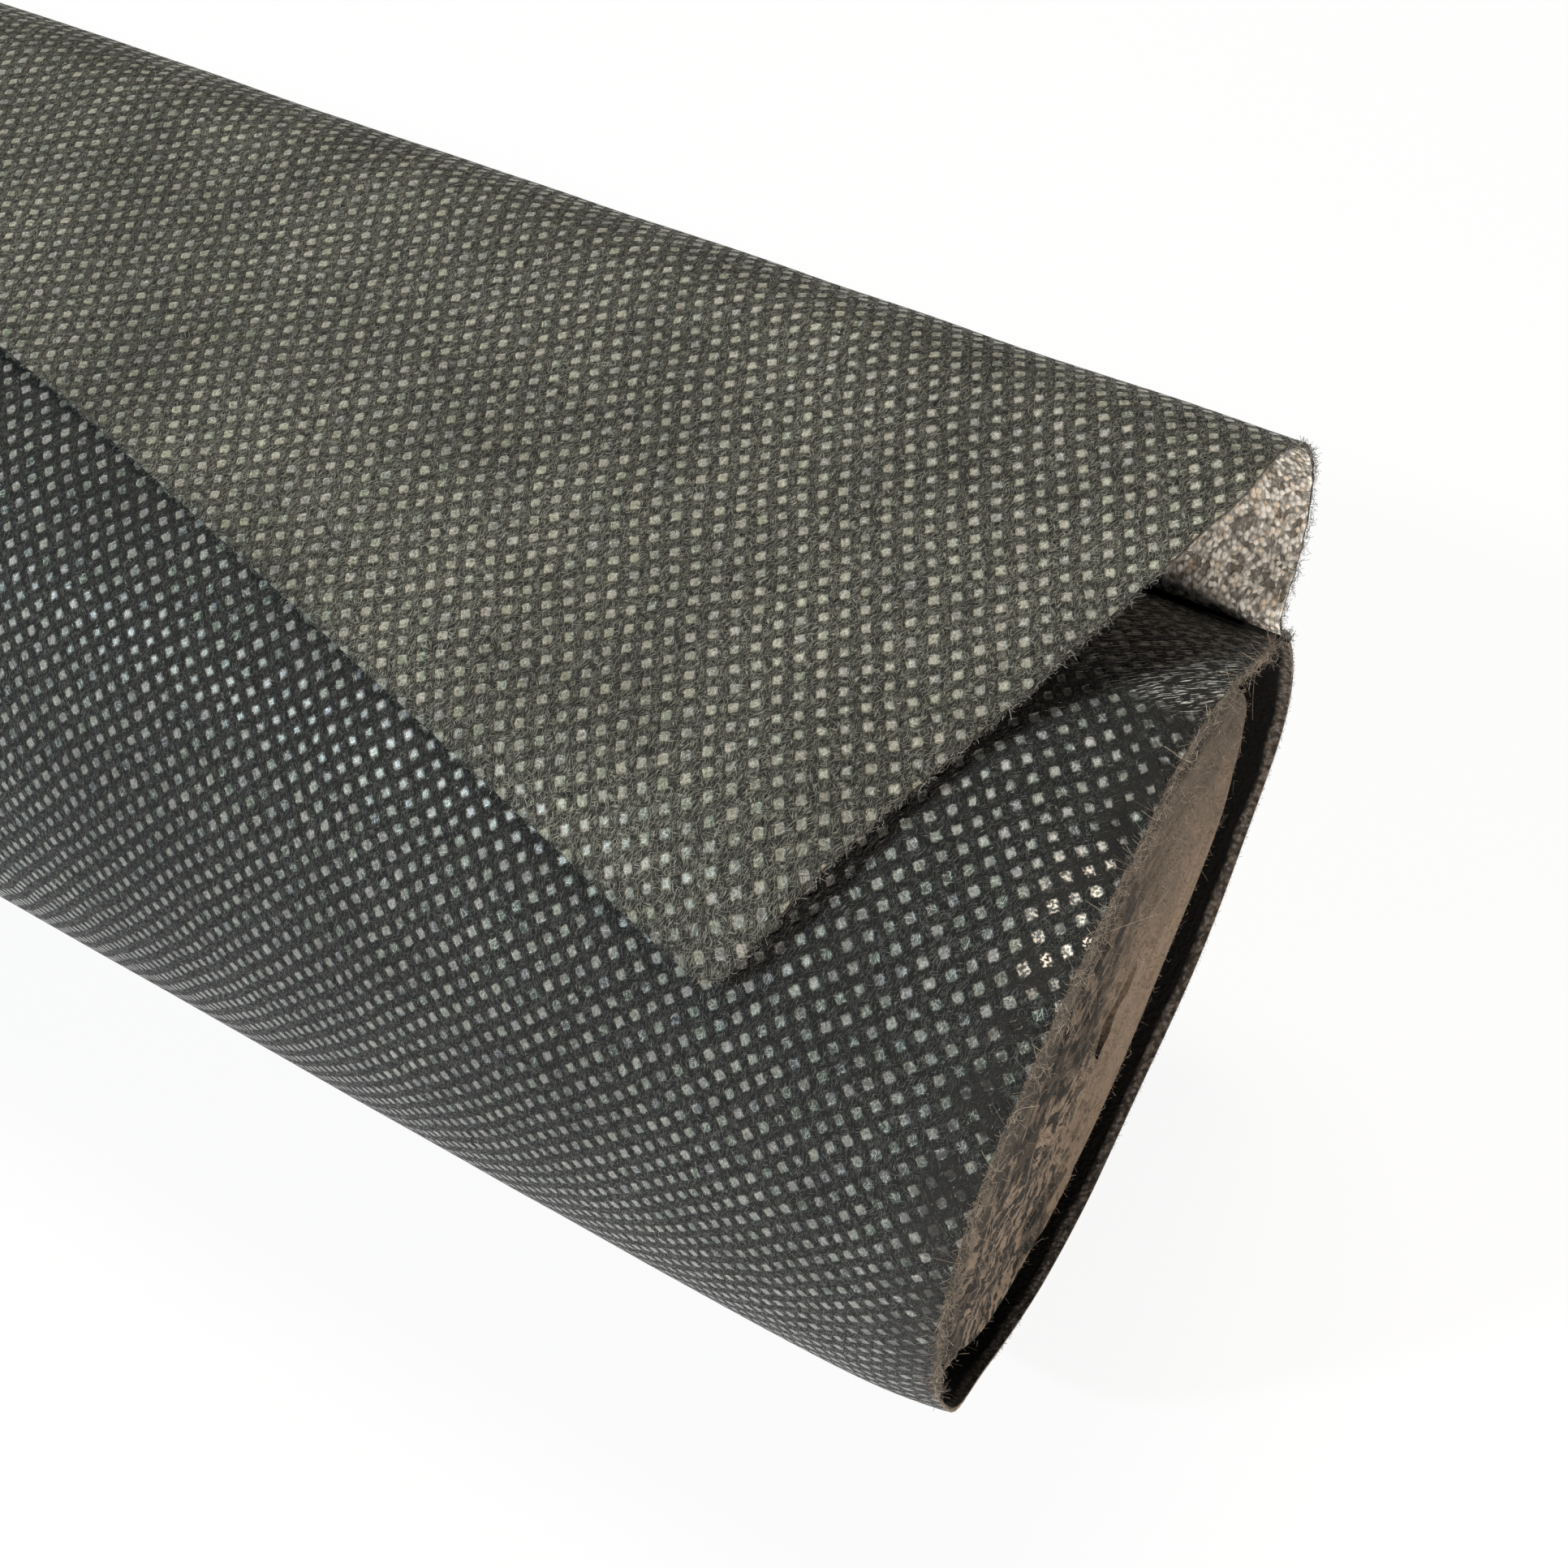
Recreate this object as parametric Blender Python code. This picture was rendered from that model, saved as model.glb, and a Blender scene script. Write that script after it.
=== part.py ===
"""Roll of weed control fabric: one long sheet of black spunbonded fabric, wound on itself with no tube
inside, lying on its side. The outermost wrap has come loose: it leaves the roll in a rounded crest and
ends in a free flap, whose corner is drawn back from the roll's near end.

Frame: metres, +X along the roll to its near end, +Z up, the roll rests on Z = 0.
A section of the roll is drawn as (y, z) about the roll's axis. Angles in it are in degrees, from +Y
over the top, and the sheet is followed from its free end inwards, which is clockwise there.
"""

import math

import bmesh
import bpy
from mathutils import Matrix, Vector

# The roll
SHEET_WIDTH = 1.0  # from selvedge to selvedge, along the roll
ROLL_RADIUS = 0.035  # outside of the snug outermost turn
FLAT_DEPTH = 0.0005  # how far the roll's weight flattens its underside
SHEET_THICKNESS = 0.0004
TURN_GAP = 0.00045  # air between two of the outer turns
CLEARANCE = 0.0003  # between pieces that touch on the real roll
OUTER_TURNS = 4

# The eye, which the winding spindle left, a little off the axis
EYE_LENGTH = 0.009
EYE_WIDTH = 0.006
EYE_TILT = 25.0
EYE_OFFSET = 0.006
EYE_AT = -35.0

# The ends: the tight turns lie a little skew behind the rim of the outermost wrap
CORE_RECESS = 0.0018  # of their end face at the axis
CORE_SKEW = 2.2  # of their end face, to a square section
CORE_DEEPEST_AT = -40.0
FLUSH_SWEEP = 270.0  # of the outermost turn, level with the rim
RECESS_SWEEP = 180.0  # after it, over which the turns fall back to the tight ones

# The crest: a round bend that stands on the roll at a crease
CREST_AT = 63.5
CREST_BEND_RADIUS = 0.008
CREST_REACH = 0.0063  # of the bend's centre, outside the roll
CREASE_RADIUS = 0.0018
CREST_FOOT_RUN = 0.0018  # from the crease on along the roll
CREST_SETBACK = 0.0038  # of its near selvedge at the hinge line, behind the rim

# The free flap: it runs straight from the crest to the roll, and its corner lies on the roll
FLAP_CORNER_AT = 138.5
FLAP_CORNER_SETBACK = 0.0208  # behind the rim
FLAP_LEVEL_WIDTH = 0.0225  # from the hinge line to the cut edge, away from the corner
FLAP_EDGE_SKEW = 15.2  # of the cut edge to the roll's axis, near the corner
FLAP_EDGE_EASE = 0.004  # how gently the cut edge turns level

# Facets
STEPS_PER_TURN = 48
EYE_STEPS = 20
BEND_STEPS = 18
CREASE_STEPS = 5
FLAP_COLUMNS = 16
NEAR_STATIONS = 15
FAR_STATIONS = 6
SMOOTH_BELOW = 35.0
CLOSE_STATIONS_SHARE = 1.2  # of the cut edge's oblique stretch, and just past it

# Colours from the photograph, linear
OUTSIDE_COLOUR = (0.107, 0.109, 0.094, 1.0)
SHADED_COLOUR = (0.100, 0.110, 0.106, 1.0)
EDGE_COLOUR = (0.150, 0.116, 0.090, 1.0)
ROUGHNESS = 0.75

TURN_PITCH = SHEET_THICKNESS + TURN_GAP
SHEET_RADIUS = ROLL_RADIUS - SHEET_THICKNESS / 2  # the outermost turn's middle, at the crest's foot
RIM_X = (SHEET_WIDTH + CREST_SETBACK) / 2  # the rim of the outermost wrap, at the near end
AXIS_Y = -TURN_PITCH / 4  # puts the frame in the middle of a spiral that is wider on one side
STEP = 360.0 / STEPS_PER_TURN
DOWN = -90.0


def polar(radius, degrees):
    """A point of the section at a radius and an angle."""
    return Vector((radius * math.cos(math.radians(degrees)), radius * math.sin(math.radians(degrees))))


def along(degrees):
    """The direction of the sheet, going inwards, where it lies on the roll at an angle."""
    return Vector((math.sin(math.radians(degrees)), -math.cos(math.radians(degrees))))


def angle_of(direction):
    return math.degrees(math.atan2(direction.y, direction.x))


def arc(centre, radius, start, end, steps):
    return [centre + polar(radius, start + (end - start) * index / steps) for index in range(steps + 1)]


def eased(share):
    """A share from 0 to 1 that starts and ends gently."""
    share = min(max(share, 0.0), 1.0)
    return share * share * (3 - 2 * share)


# The winding, as a spiral


def crease_centre():
    """The crease is a small arc that touches the crest's bend and the roll from outside both."""
    from_axis = SHEET_RADIUS + CREASE_RADIUS
    from_bend = CREST_BEND_RADIUS + CREASE_RADIUS
    bend = SHEET_RADIUS + CREST_REACH
    cosine = (from_axis**2 + bend**2 - from_bend**2) / (2 * from_axis * bend)
    return polar(from_axis, CREST_AT - math.degrees(math.acos(cosine)))


def winding_start():
    """The angle at which the snug turns begin, just past the crest's foot."""
    return angle_of(crease_centre()) - math.degrees(CREST_FOOT_RUN / SHEET_RADIUS)


def turn_radius(swept):
    """The radius of the sheet's middle, after so many degrees inwards from the start of the winding."""
    return SHEET_RADIUS - TURN_PITCH * swept / 360.0


def floor_radius(turn):
    """How low the middle of a turn lies under the axis, where the roll's weight flattens it."""
    lowest = turn_radius(winding_start() - DOWN)
    return lowest - FLAT_DEPTH - TURN_PITCH * turn


def axis_height():
    return floor_radius(0) + SHEET_THICKNESS / 2


def wound(swept, outwards=0.0):
    """A point of the winding, on the sheet's middle or a way outwards from it."""
    point = polar(turn_radius(swept) + outwards, winding_start() - swept)
    turn = int(swept // 360.0)
    point.y = max(point.y, -floor_radius(turn) - outwards)
    return point


def recess(point):
    """How far the tight turns' end face lies behind the rim, at a point of the section."""
    return CORE_RECESS + math.tan(math.radians(CORE_SKEW)) * point.dot(polar(1, CORE_DEEPEST_AT))


def near_edge(swept):
    """Where a turn's selvedge lies at the near end. The outermost turn is flush with the rim."""
    return RIM_X - recess(wound(swept)) * eased((swept - FLUSH_SWEEP) / RECESS_SWEEP)


def least_gap(line):
    """The least gap of the wound sheet to itself, found on its points against the turn outside them."""
    least = math.inf
    for index in range(STEPS_PER_TURN, len(line)):
        point = line[index]
        outside = index - STEPS_PER_TURN
        for start in range(max(outside - 2, 0), outside + 2):
            run = line[start + 1] - line[start]
            share = min(max((point - line[start]).dot(run) / run.length_squared, 0.0), 1.0)
            least = min(least, (point - line[start] - run * share).length)
    return least - SHEET_THICKNESS


# Making solids


def clear_scene():
    for old in list(bpy.data.objects):
        bpy.data.objects.remove(old)


def fabric(name, colour):
    """Matt spunbonded fabric."""
    material = bpy.data.materials.new(name)
    material.use_nodes = True
    shader = material.node_tree.nodes["Principled BSDF"]
    shader.inputs["Base Color"].default_value = colour
    shader.inputs["Roughness"].default_value = ROUGHNESS
    shader.inputs["Metallic"].default_value = 0.0
    return material


def finish(name, mesh, material):
    """Makes a mesh a named object of its own, smooth except at its edges."""
    mesh.materials.append(material)
    mesh.shade_smooth()
    mesh.set_sharp_from_angle(angle=math.radians(SMOOTH_BELOW))
    piece = bpy.data.objects.new(name, mesh)
    bpy.context.scene.collection.objects.link(piece)
    return piece


def cloth(name, rows, material):
    """A sheet through rows of points, each row across its width, half its thickness to each side."""
    bm = bmesh.new()
    grid = [[bm.verts.new(point) for point in row] for row in rows]
    for row, following in zip(grid, grid[1:]):
        for corner in range(len(row) - 1):
            bm.faces.new((row[corner], row[corner + 1], following[corner + 1], following[corner]))
    bmesh.ops.recalc_face_normals(bm, faces=bm.faces)
    mesh = bpy.data.meshes.new(name)
    bm.to_mesh(mesh)
    bm.free()
    piece = finish(name, mesh, material)
    solid = piece.modifiers.new("thickness", "SOLIDIFY")
    solid.thickness = SHEET_THICKNESS
    solid.offset = 0.0
    solid.use_even_offset = True
    return piece


def on_roll(x, point):
    """A point of the section, at a place along the roll."""
    return Vector((x, AXIS_Y + point.x, axis_height() + point.y))


# The tight inner turns


def eye_outline():
    """The pinched hole that is left where the winding began."""
    centre = polar(EYE_OFFSET, EYE_AT)
    tilt = Matrix.Rotation(math.radians(EYE_TILT), 2)
    points = []
    for index in range(EYE_STEPS):
        unit = polar(1, 360.0 * index / EYE_STEPS)
        points.append(centre + tilt @ Vector((unit.x * EYE_LENGTH / 2, unit.y * EYE_WIDTH / 2)))
    return points


def tight_inner_turns():
    """Everything inside the outer turns, wound too tight to tell apart. Its outside carries the spiral
    on for one more turn, so it has a step, against which the outer turns' inner end lies."""
    first = OUTER_TURNS * 360.0 + math.degrees(CLEARANCE / turn_radius(OUTER_TURNS * 360.0))
    outline = [wound(first + index * STEP, SHEET_THICKNESS / 2) for index in range(STEPS_PER_TURN + 1)]
    bm = bmesh.new()
    edges = []
    for loop in (outline, eye_outline()):
        verts = [bm.verts.new(on_roll(RIM_X - recess(point), point)) for point in loop]
        edges += [bm.edges.new((verts[index - 1], verts[index])) for index in range(len(verts))]
    end_face = bmesh.ops.bridge_loops(bm, edges=edges)["faces"]
    pulled = bmesh.ops.extrude_face_region(bm, geom=end_face)["geom"]
    moved = [item for item in pulled if isinstance(item, bmesh.types.BMVert)]
    bmesh.ops.translate(bm, verts=moved, vec=(-SHEET_WIDTH, 0, 0))
    bmesh.ops.recalc_face_normals(bm, faces=bm.faces)
    mesh = bpy.data.meshes.new("tight_inner_turns")
    bm.to_mesh(mesh)
    bm.free()
    finish("tight_inner_turns", mesh, fabric("end_of_the_turns", EDGE_COLOUR))


# The outer turns


def outer_turns():
    """The outermost turns as one unbroken strip. The first of them is the layer that shows under the flap."""
    swept = [index * STEP for index in range(OUTER_TURNS * STEPS_PER_TURN + 1)]
    line = [wound(angle) for angle in swept]
    print(f"outer turns: {OUTER_TURNS}, least gap to itself {least_gap(line) * 1000:.3f} mm")
    rows = []
    for angle, point in zip(swept, line):
        near_x = near_edge(angle)
        rows.append([on_roll(near_x, point), on_roll(near_x - SHEET_WIDTH, point)])
    cloth("outer_turns", rows, fabric("outside_of_the_roll", SHADED_COLOUR))


# The crest and the free flap


def lay_radius():
    """The radius of the flap's middle where it lies on the turn below it."""
    below = turn_radius(winding_start() - (FLAP_CORNER_AT - 360.0))
    return below + SHEET_THICKNESS + CLEARANCE


def bend_centre():
    return polar(SHEET_RADIUS + CREST_REACH, CREST_AT)


def leaving_angle():
    """Where the straight line that touches the roll and the crest's bend leaves the roll."""
    cosine = (lay_radius() - CREST_BEND_RADIUS) / bend_centre().length
    return CREST_AT + math.degrees(math.acos(cosine))


def straight_length():
    return math.sqrt(bend_centre().length ** 2 - (lay_radius() - CREST_BEND_RADIUS) ** 2)


def hinge_point():
    """Where the flap's straight stretch meets the crest's bend, on the sheet's middle."""
    return bend_centre() + polar(CREST_BEND_RADIUS, leaving_angle())


def crest_line():
    """The crest's section: round the bend, out again at the crease, and a short way along the roll."""
    bend, crease = bend_centre(), crease_centre()
    bend_ends = angle_of(crease - bend)
    points = arc(bend, CREST_BEND_RADIUS, leaving_angle(), bend_ends, BEND_STEPS)
    points[0] = points[0] + along(leaving_angle()) * (CLEARANCE / 2)
    crease_starts = bend_ends + 180.0
    crease_ends = angle_of(-crease) % 360.0
    points += arc(crease, CREASE_RADIUS, crease_starts, crease_ends, CREASE_STEPS)[1:]
    start = winding_start()
    points.append(polar(SHEET_RADIUS, start) - along(start) * CLEARANCE)
    return points


def loose_crest():
    """The raised fold of the outermost wrap, between the free flap and the outer turns."""
    line = crest_line()
    lengths = [0.0]
    for before, after in zip(line, line[1:]):
        lengths.append(lengths[-1] + (after - before).length)
    rows = []
    for point, length in zip(line, lengths):
        near_x = RIM_X - CREST_SETBACK * (1 - length / lengths[-1])
        rows.append([on_roll(near_x, point), on_roll(near_x - SHEET_WIDTH, point)])
    cloth("loose_crest", rows, fabric("crest", OUTSIDE_COLOUR))


def flap_point(width):
    """The flap's section at a distance from the hinge line, towards its cut edge."""
    straight, leaves = straight_length(), leaving_angle()
    if width < straight:
        return polar(lay_radius(), leaves) + along(leaves) * (straight - width)
    return polar(lay_radius(), leaves + math.degrees((width - straight) / lay_radius()))


def corner_width():
    """From the hinge line to the flap's corner, along the sheet."""
    return straight_length() + math.radians(FLAP_CORNER_AT - leaving_angle()) * lay_radius()


def oblique_length():
    """How far from the corner the cut edge runs, along the roll, before it turns level."""
    return (corner_width() - FLAP_LEVEL_WIDTH) / math.tan(math.radians(FLAP_EDGE_SKEW))


def flap_width(x):
    """From the hinge line to the cut edge: oblique near the corner, then level."""
    back = max(RIM_X - FLAP_CORNER_SETBACK - x, 0.0)
    over = (oblique_length() - back) * math.tan(math.radians(FLAP_EDGE_SKEW))
    return FLAP_LEVEL_WIDTH + (over + math.hypot(over, FLAP_EDGE_EASE)) / 2


def flap_rows():
    """Rows across the sheet's width, from the hinge line to the cut edge."""
    turn_x = RIM_X - FLAP_CORNER_SETBACK - oblique_length() * CLOSE_STATIONS_SHARE
    far_x = RIM_X - CREST_SETBACK - SHEET_WIDTH
    rows = []
    for column in range(FLAP_COLUMNS + 1):
        share = column / FLAP_COLUMNS
        near_x = RIM_X - CREST_SETBACK - (FLAP_CORNER_SETBACK - CREST_SETBACK) * share
        places = [near_x + (turn_x - near_x) * index / NEAR_STATIONS for index in range(NEAR_STATIONS)]
        places += [turn_x + (far_x - turn_x) * index / FAR_STATIONS for index in range(FAR_STATIONS + 1)]
        rows.append([on_roll(x, flap_point(max(share * flap_width(x), CLEARANCE / 2))) for x in places])
    return rows


def free_flap():
    """The sheet's loose end. Its origin is on the line that it lifts about, on the sheet's outer face."""
    outer_face = hinge_point() + polar(SHEET_THICKNESS / 2, leaving_angle())
    origin = on_roll(RIM_X - CREST_SETBACK, outer_face)
    rows = [[point - origin for point in row] for row in flap_rows()]
    cloth("free_flap", rows, fabric("flap", OUTSIDE_COLOUR)).location = origin
    print(f"hinge line at y {origin.y:.6f}, z {origin.z:.6f}; near end of the flap at x {origin.x:.6f}")


def main():
    clear_scene()
    tight_inner_turns()
    outer_turns()
    loose_crest()
    free_flap()
    leaves, start, height = leaving_angle(), winding_start(), axis_height()
    print(f"flap leaves the roll at {leaves:.2f}, snug turns start at {start:.2f}, axis at z {height:.6f}")
    print(f"straight {straight_length():.5f}, corner width {corner_width():.5f}, lay {lay_radius():.6f}")


main()
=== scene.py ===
# %% [markdown]
# # A roll of weed control fabric
# The object is one long sheet of black spunbonded fabric, wound on itself with no tube inside. Its
# outermost wrap has come loose: it rises from the roll in a rounded crest, runs straight down to the
# front and ends in a free flap. Every piece here is a stretch of that one sheet. The solids of the
# frame say where each stretch lies, and the cells below give them the fabric's own look.

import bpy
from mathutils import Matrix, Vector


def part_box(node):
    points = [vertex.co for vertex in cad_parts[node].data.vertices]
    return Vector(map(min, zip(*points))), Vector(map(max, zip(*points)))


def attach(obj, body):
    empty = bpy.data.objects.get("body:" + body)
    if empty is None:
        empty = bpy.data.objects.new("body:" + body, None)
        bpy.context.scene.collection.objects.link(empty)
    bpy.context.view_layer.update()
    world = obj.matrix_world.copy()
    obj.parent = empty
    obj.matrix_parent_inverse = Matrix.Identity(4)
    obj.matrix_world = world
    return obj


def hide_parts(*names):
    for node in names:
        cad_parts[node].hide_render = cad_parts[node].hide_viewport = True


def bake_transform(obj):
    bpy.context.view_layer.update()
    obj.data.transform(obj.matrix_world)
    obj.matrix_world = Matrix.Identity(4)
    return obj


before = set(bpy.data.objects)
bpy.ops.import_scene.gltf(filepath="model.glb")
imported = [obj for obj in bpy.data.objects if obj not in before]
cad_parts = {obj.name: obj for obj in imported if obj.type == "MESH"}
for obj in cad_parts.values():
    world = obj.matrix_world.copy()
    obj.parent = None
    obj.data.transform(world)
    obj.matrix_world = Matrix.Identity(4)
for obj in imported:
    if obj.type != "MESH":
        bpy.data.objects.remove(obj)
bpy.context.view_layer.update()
print("solids:", sorted(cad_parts))

# %% [markdown]
# ## Sizes
# The sheet's own sizes are given first, in metres, and then how it lies on the roll. The photograph
# shows the roll's near end, which is its end towards +X. The place of the rim, which the frame already
# knows, is read from it.

# %% Sizes of the sheet and the roll
import math

import bmesh
import bpy
import numpy as np
from mathutils import Vector, noise

SHEET_WIDTH = 1.0
SHEET_THICKNESS = 0.0004
ROLL_RADIUS = 0.035
FLAT_DEPTH = 0.0005
TURN_GAP = 0.00045
OUTER_TURNS = 4
TURN_PITCH = SHEET_THICKNESS + TURN_GAP
SHEET_RADIUS = ROLL_RADIUS - SHEET_THICKNESS / 2
RIM_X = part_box("outer_turns")[1].x

# %% [markdown]
# ## The section of the roll
# A section is drawn as (y, z) about the roll's axis, with angles in degrees from +Y over the top. The
# crest is a round bend whose foot turns out again in a small crease, and from there the sheet winds
# inwards as a spiral. The roll's weight flattens each turn a little where it rests.

# %% Lay out the section
CREST_AT = 63.5
CREST_BEND_RADIUS = 0.008
CREST_REACH = 0.0063
CREASE_RADIUS = 0.0018
CREST_FOOT_RUN = 0.0018
FLAP_CORNER_AT = 138.5
LAY_GAP = 0.0003


def polar(radius, degrees):
    return Vector((radius * math.cos(math.radians(degrees)), radius * math.sin(math.radians(degrees))))


def along(degrees):
    """The sheet's direction, going inwards, where it lies on the roll."""
    return Vector((math.sin(math.radians(degrees)), -math.cos(math.radians(degrees))))


def angle_of(direction):
    return math.degrees(math.atan2(direction.y, direction.x))


def smooth(share):
    share = min(max(share, 0.0), 1.0)
    return share * share * (3 - 2 * share)


def crease_centre():
    from_axis = SHEET_RADIUS + CREASE_RADIUS
    from_bend = CREST_BEND_RADIUS + CREASE_RADIUS
    bend = SHEET_RADIUS + CREST_REACH
    cosine = (from_axis**2 + bend**2 - from_bend**2) / (2 * from_axis * bend)
    return polar(from_axis, CREST_AT - math.degrees(math.acos(cosine)))


BEND = polar(SHEET_RADIUS + CREST_REACH, CREST_AT)
CREASE = crease_centre()
START_AT = angle_of(CREASE) - math.degrees(CREST_FOOT_RUN / SHEET_RADIUS)


def turn_radius(swept):
    return SHEET_RADIUS - TURN_PITCH * swept / 360.0


LOWEST = turn_radius(START_AT + 90.0) - FLAT_DEPTH
AXIS_Y = -TURN_PITCH / 4
AXIS_Z = LOWEST + SHEET_THICKNESS / 2
LAY_RADIUS = turn_radius(START_AT - FLAP_CORNER_AT + 360.0) + SHEET_THICKNESS + LAY_GAP
LEAVES_AT = CREST_AT + math.degrees(math.acos((LAY_RADIUS - CREST_BEND_RADIUS) / BEND.length))
STRAIGHT = math.sqrt(BEND.length**2 - (LAY_RADIUS - CREST_BEND_RADIUS) ** 2)
print(f"axis at z {AXIS_Z:.5f}, the winding starts at {START_AT:.1f} degrees")
print(f"the flap leaves the roll at {LEAVES_AT:.1f} degrees and runs straight for {STRAIGHT:.4f}")

# %% [markdown]
# ## The loose wrap's path
# Distances on the sheet are measured from the hinge line: negative towards the cut edge, positive over
# the crest. One function gives the point of the section for any such distance, so the mesh, its UV map
# and the loose fibres on it all follow the same path.

# %% Follow the sheet from the cut edge to the crest's foot
BEND_ENDS = angle_of(CREASE - BEND)
BEND_RUN = CREST_BEND_RADIUS * math.radians(LEAVES_AT - BEND_ENDS)
CREASE_TURN = angle_of(-CREASE) % 360.0 - (BEND_ENDS + 180.0)
CREASE_RUN = CREASE_RADIUS * math.radians(CREASE_TURN)
CREST_RUN = BEND_RUN + CREASE_RUN + CREST_FOOT_RUN
FOOT_TUCK = 0.0012
TUCK_DEPTH = 0.0004
CORNER_WIDTH = STRAIGHT + math.radians(FLAP_CORNER_AT - LEAVES_AT) * LAY_RADIUS


def flap_path(width):
    """A point of the flap and its outward direction, at a distance from the hinge line."""
    if width < STRAIGHT:
        point = polar(LAY_RADIUS, LEAVES_AT) + along(LEAVES_AT) * (STRAIGHT - width)
        return point, polar(1, LEAVES_AT)
    angle = LEAVES_AT + math.degrees((width - STRAIGHT) / LAY_RADIUS)
    return polar(LAY_RADIUS, angle), polar(1, angle)


def crest_path(run):
    """A point of the crest and its outward direction, at a distance past the hinge line."""
    if run < BEND_RUN:
        angle = LEAVES_AT - math.degrees(run / CREST_BEND_RADIUS)
        return BEND + polar(CREST_BEND_RADIUS, angle), polar(1, angle)
    if run < BEND_RUN + CREASE_RUN:
        angle = BEND_ENDS + 180.0 + math.degrees((run - BEND_RUN) / CREASE_RADIUS)
        return CREASE + polar(CREASE_RADIUS, angle), polar(-1, angle)
    angle = angle_of(CREASE) - math.degrees((run - BEND_RUN - CREASE_RUN) / SHEET_RADIUS)
    tucked = SHEET_RADIUS - TUCK_DEPTH * smooth((run - CREST_RUN) / FOOT_TUCK)
    return polar(tucked, angle), polar(1, angle)


print(f"crest run {CREST_RUN:.4f}, flap {CORNER_WIDTH:.4f} wide at its corner")

# %% [markdown]
# ## Node helpers
# Materials and geometry trees are both node trees, so the same small helpers serve all of them. One
# adds a node and fills its inputs. The others, each of a line or two, add the nodes that come back
# again and again and return their results, in whichever tree their values come from.

# %% Helpers for node trees


def add(tree, kind, inputs=None, **settings):
    """Adds a node. An input is given by name or number, as a value or as another node's output."""
    node = tree.nodes.new(kind)
    for name, value in settings.items():
        setattr(node, name, value)
    for key, value in (inputs or {}).items():
        if isinstance(value, bpy.types.NodeSocket):
            tree.links.new(value, node.inputs[key])
        else:
            node.inputs[key].default_value = value
    return node


def tree_of(values):
    """The tree of the first value that is a node's output."""
    return next(value.id_data for value in values if isinstance(value, bpy.types.NodeSocket))


def calc(operation, *values):
    return add(tree_of(values), "ShaderNodeMath", dict(enumerate(values)), operation=operation).outputs[0]


def times(first, second):
    return calc("MULTIPLY", first, second)


def plus(first, second):
    return calc("ADD", first, second)


def minus(first, second):
    return calc("SUBTRACT", first, second)


def vector(operation, *values):
    """A calculation with vectors, whose result is a number for a length or a dot product."""
    node = add(tree_of(values), "ShaderNodeVectorMath", dict(enumerate(values)), operation=operation)
    return node.outputs[1 if operation in ("DOT_PRODUCT", "LENGTH") else 0]


def parts(value):
    """The three parts of a vector or a colour."""
    return add(value.id_data, "ShaderNodeSeparateXYZ", {0: value}).outputs


def joined(x, y, z):
    return add(tree_of((x, y, z)), "ShaderNodeCombineXYZ", {0: x, 1: y, 2: z}).outputs[0]


def speckle(place, scale, detail, **settings):
    """Noise at a place. Its outputs are a number, and three numbers at once as "Color"."""
    inputs = {"Vector": place, "Scale": scale, "Detail": detail}
    return add(place.id_data, "ShaderNodeTexNoise", inputs, **settings).outputs


def turned_by(value, degrees):
    inputs = {"Vector": value, "Angle": math.radians(degrees)}
    return add(value.id_data, "ShaderNodeVectorRotate", inputs, rotation_type="Z_AXIS").outputs[0]


def ramp(value, low, high, to_low=0.0, to_high=1.0):
    """Turns a value between two limits into a share that starts and ends gently."""
    inputs = {"Value": value, "From Min": low, "From Max": high, "To Min": to_low, "To Max": to_high}
    return add(value.id_data, "ShaderNodeMapRange", inputs, interpolation_type="SMOOTHSTEP").outputs[0]


def blend_colours(share, first, second):
    inputs = {0: share, 6: first, 7: second}
    return add(tree_of(inputs.values()), "ShaderNodeMix", inputs, data_type="RGBA").outputs[2]


RELIEF_DEPTH = 0.00012


def new_material(name, roughness, specular, sheen=0.0):
    """A material whose constant numbers sit on the shader itself."""
    material = bpy.data.materials.new(name)
    material.use_nodes = True
    shader = material.node_tree.nodes["Principled BSDF"]
    shader.inputs["Roughness"].default_value = roughness
    shader.inputs["Specular IOR Level"].default_value = specular
    shader.inputs["Sheen Weight"].default_value = sheen
    return material, material.node_tree, shader


def finish_shader(shader, colour, height, strength):
    """Gives a shader its colour and its fine relief."""
    tree = shader.id_data
    tree.links.new(colour, shader.inputs["Base Color"])
    bump = add(tree, "ShaderNodeBump", {"Height": height, "Distance": RELIEF_DEPTH, "Strength": strength})
    tree.links.new(bump.outputs[0], shader.inputs["Normal"])


def put_in_scene(name, data):
    made = bpy.data.objects.new(name, data)
    bpy.context.scene.collection.objects.link(made)
    return made


# %% [markdown]
# ## The fabric's face
# Spunbonded fabric is a felt of endless fine threads, fused to each other by a hot roller with raised
# points. Each point leaves a small, flat, shiny, paler square, and the squares stand in a lattice whose
# rows run at 45 degrees to the sheet's edges, about 1.5 mm apart. A drawn image would repeat, so the
# lattice is worked out from the UV map, which is in metres: the fraction of two diagonal coordinates
# gives the place within a cell, and a random number for each cell makes no two points alike.

# %% Bond points in a diagonal lattice
AXIAL_DIAGONAL = 0.00203
AROUND_DIAGONAL = 0.00221
POINT_SIZE_SHARE = 0.52
POINT_SQUARENESS = 4.5
DRIFT = 0.00088
MIDDLE = (0.5, 0.5, 0.5)


def sheet_coordinates(tree):
    """The UV map in metres, and the same drawn a little to and fro as a real sheet is."""
    uv = add(tree, "ShaderNodeTexCoord").outputs["UV"]
    centred = vector("SUBTRACT", speckle(uv, 140.0, 1.0)["Color"], MIDDLE)
    return uv, vector("MULTIPLY_ADD", centred, (DRIFT,) * 3, uv)


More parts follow.
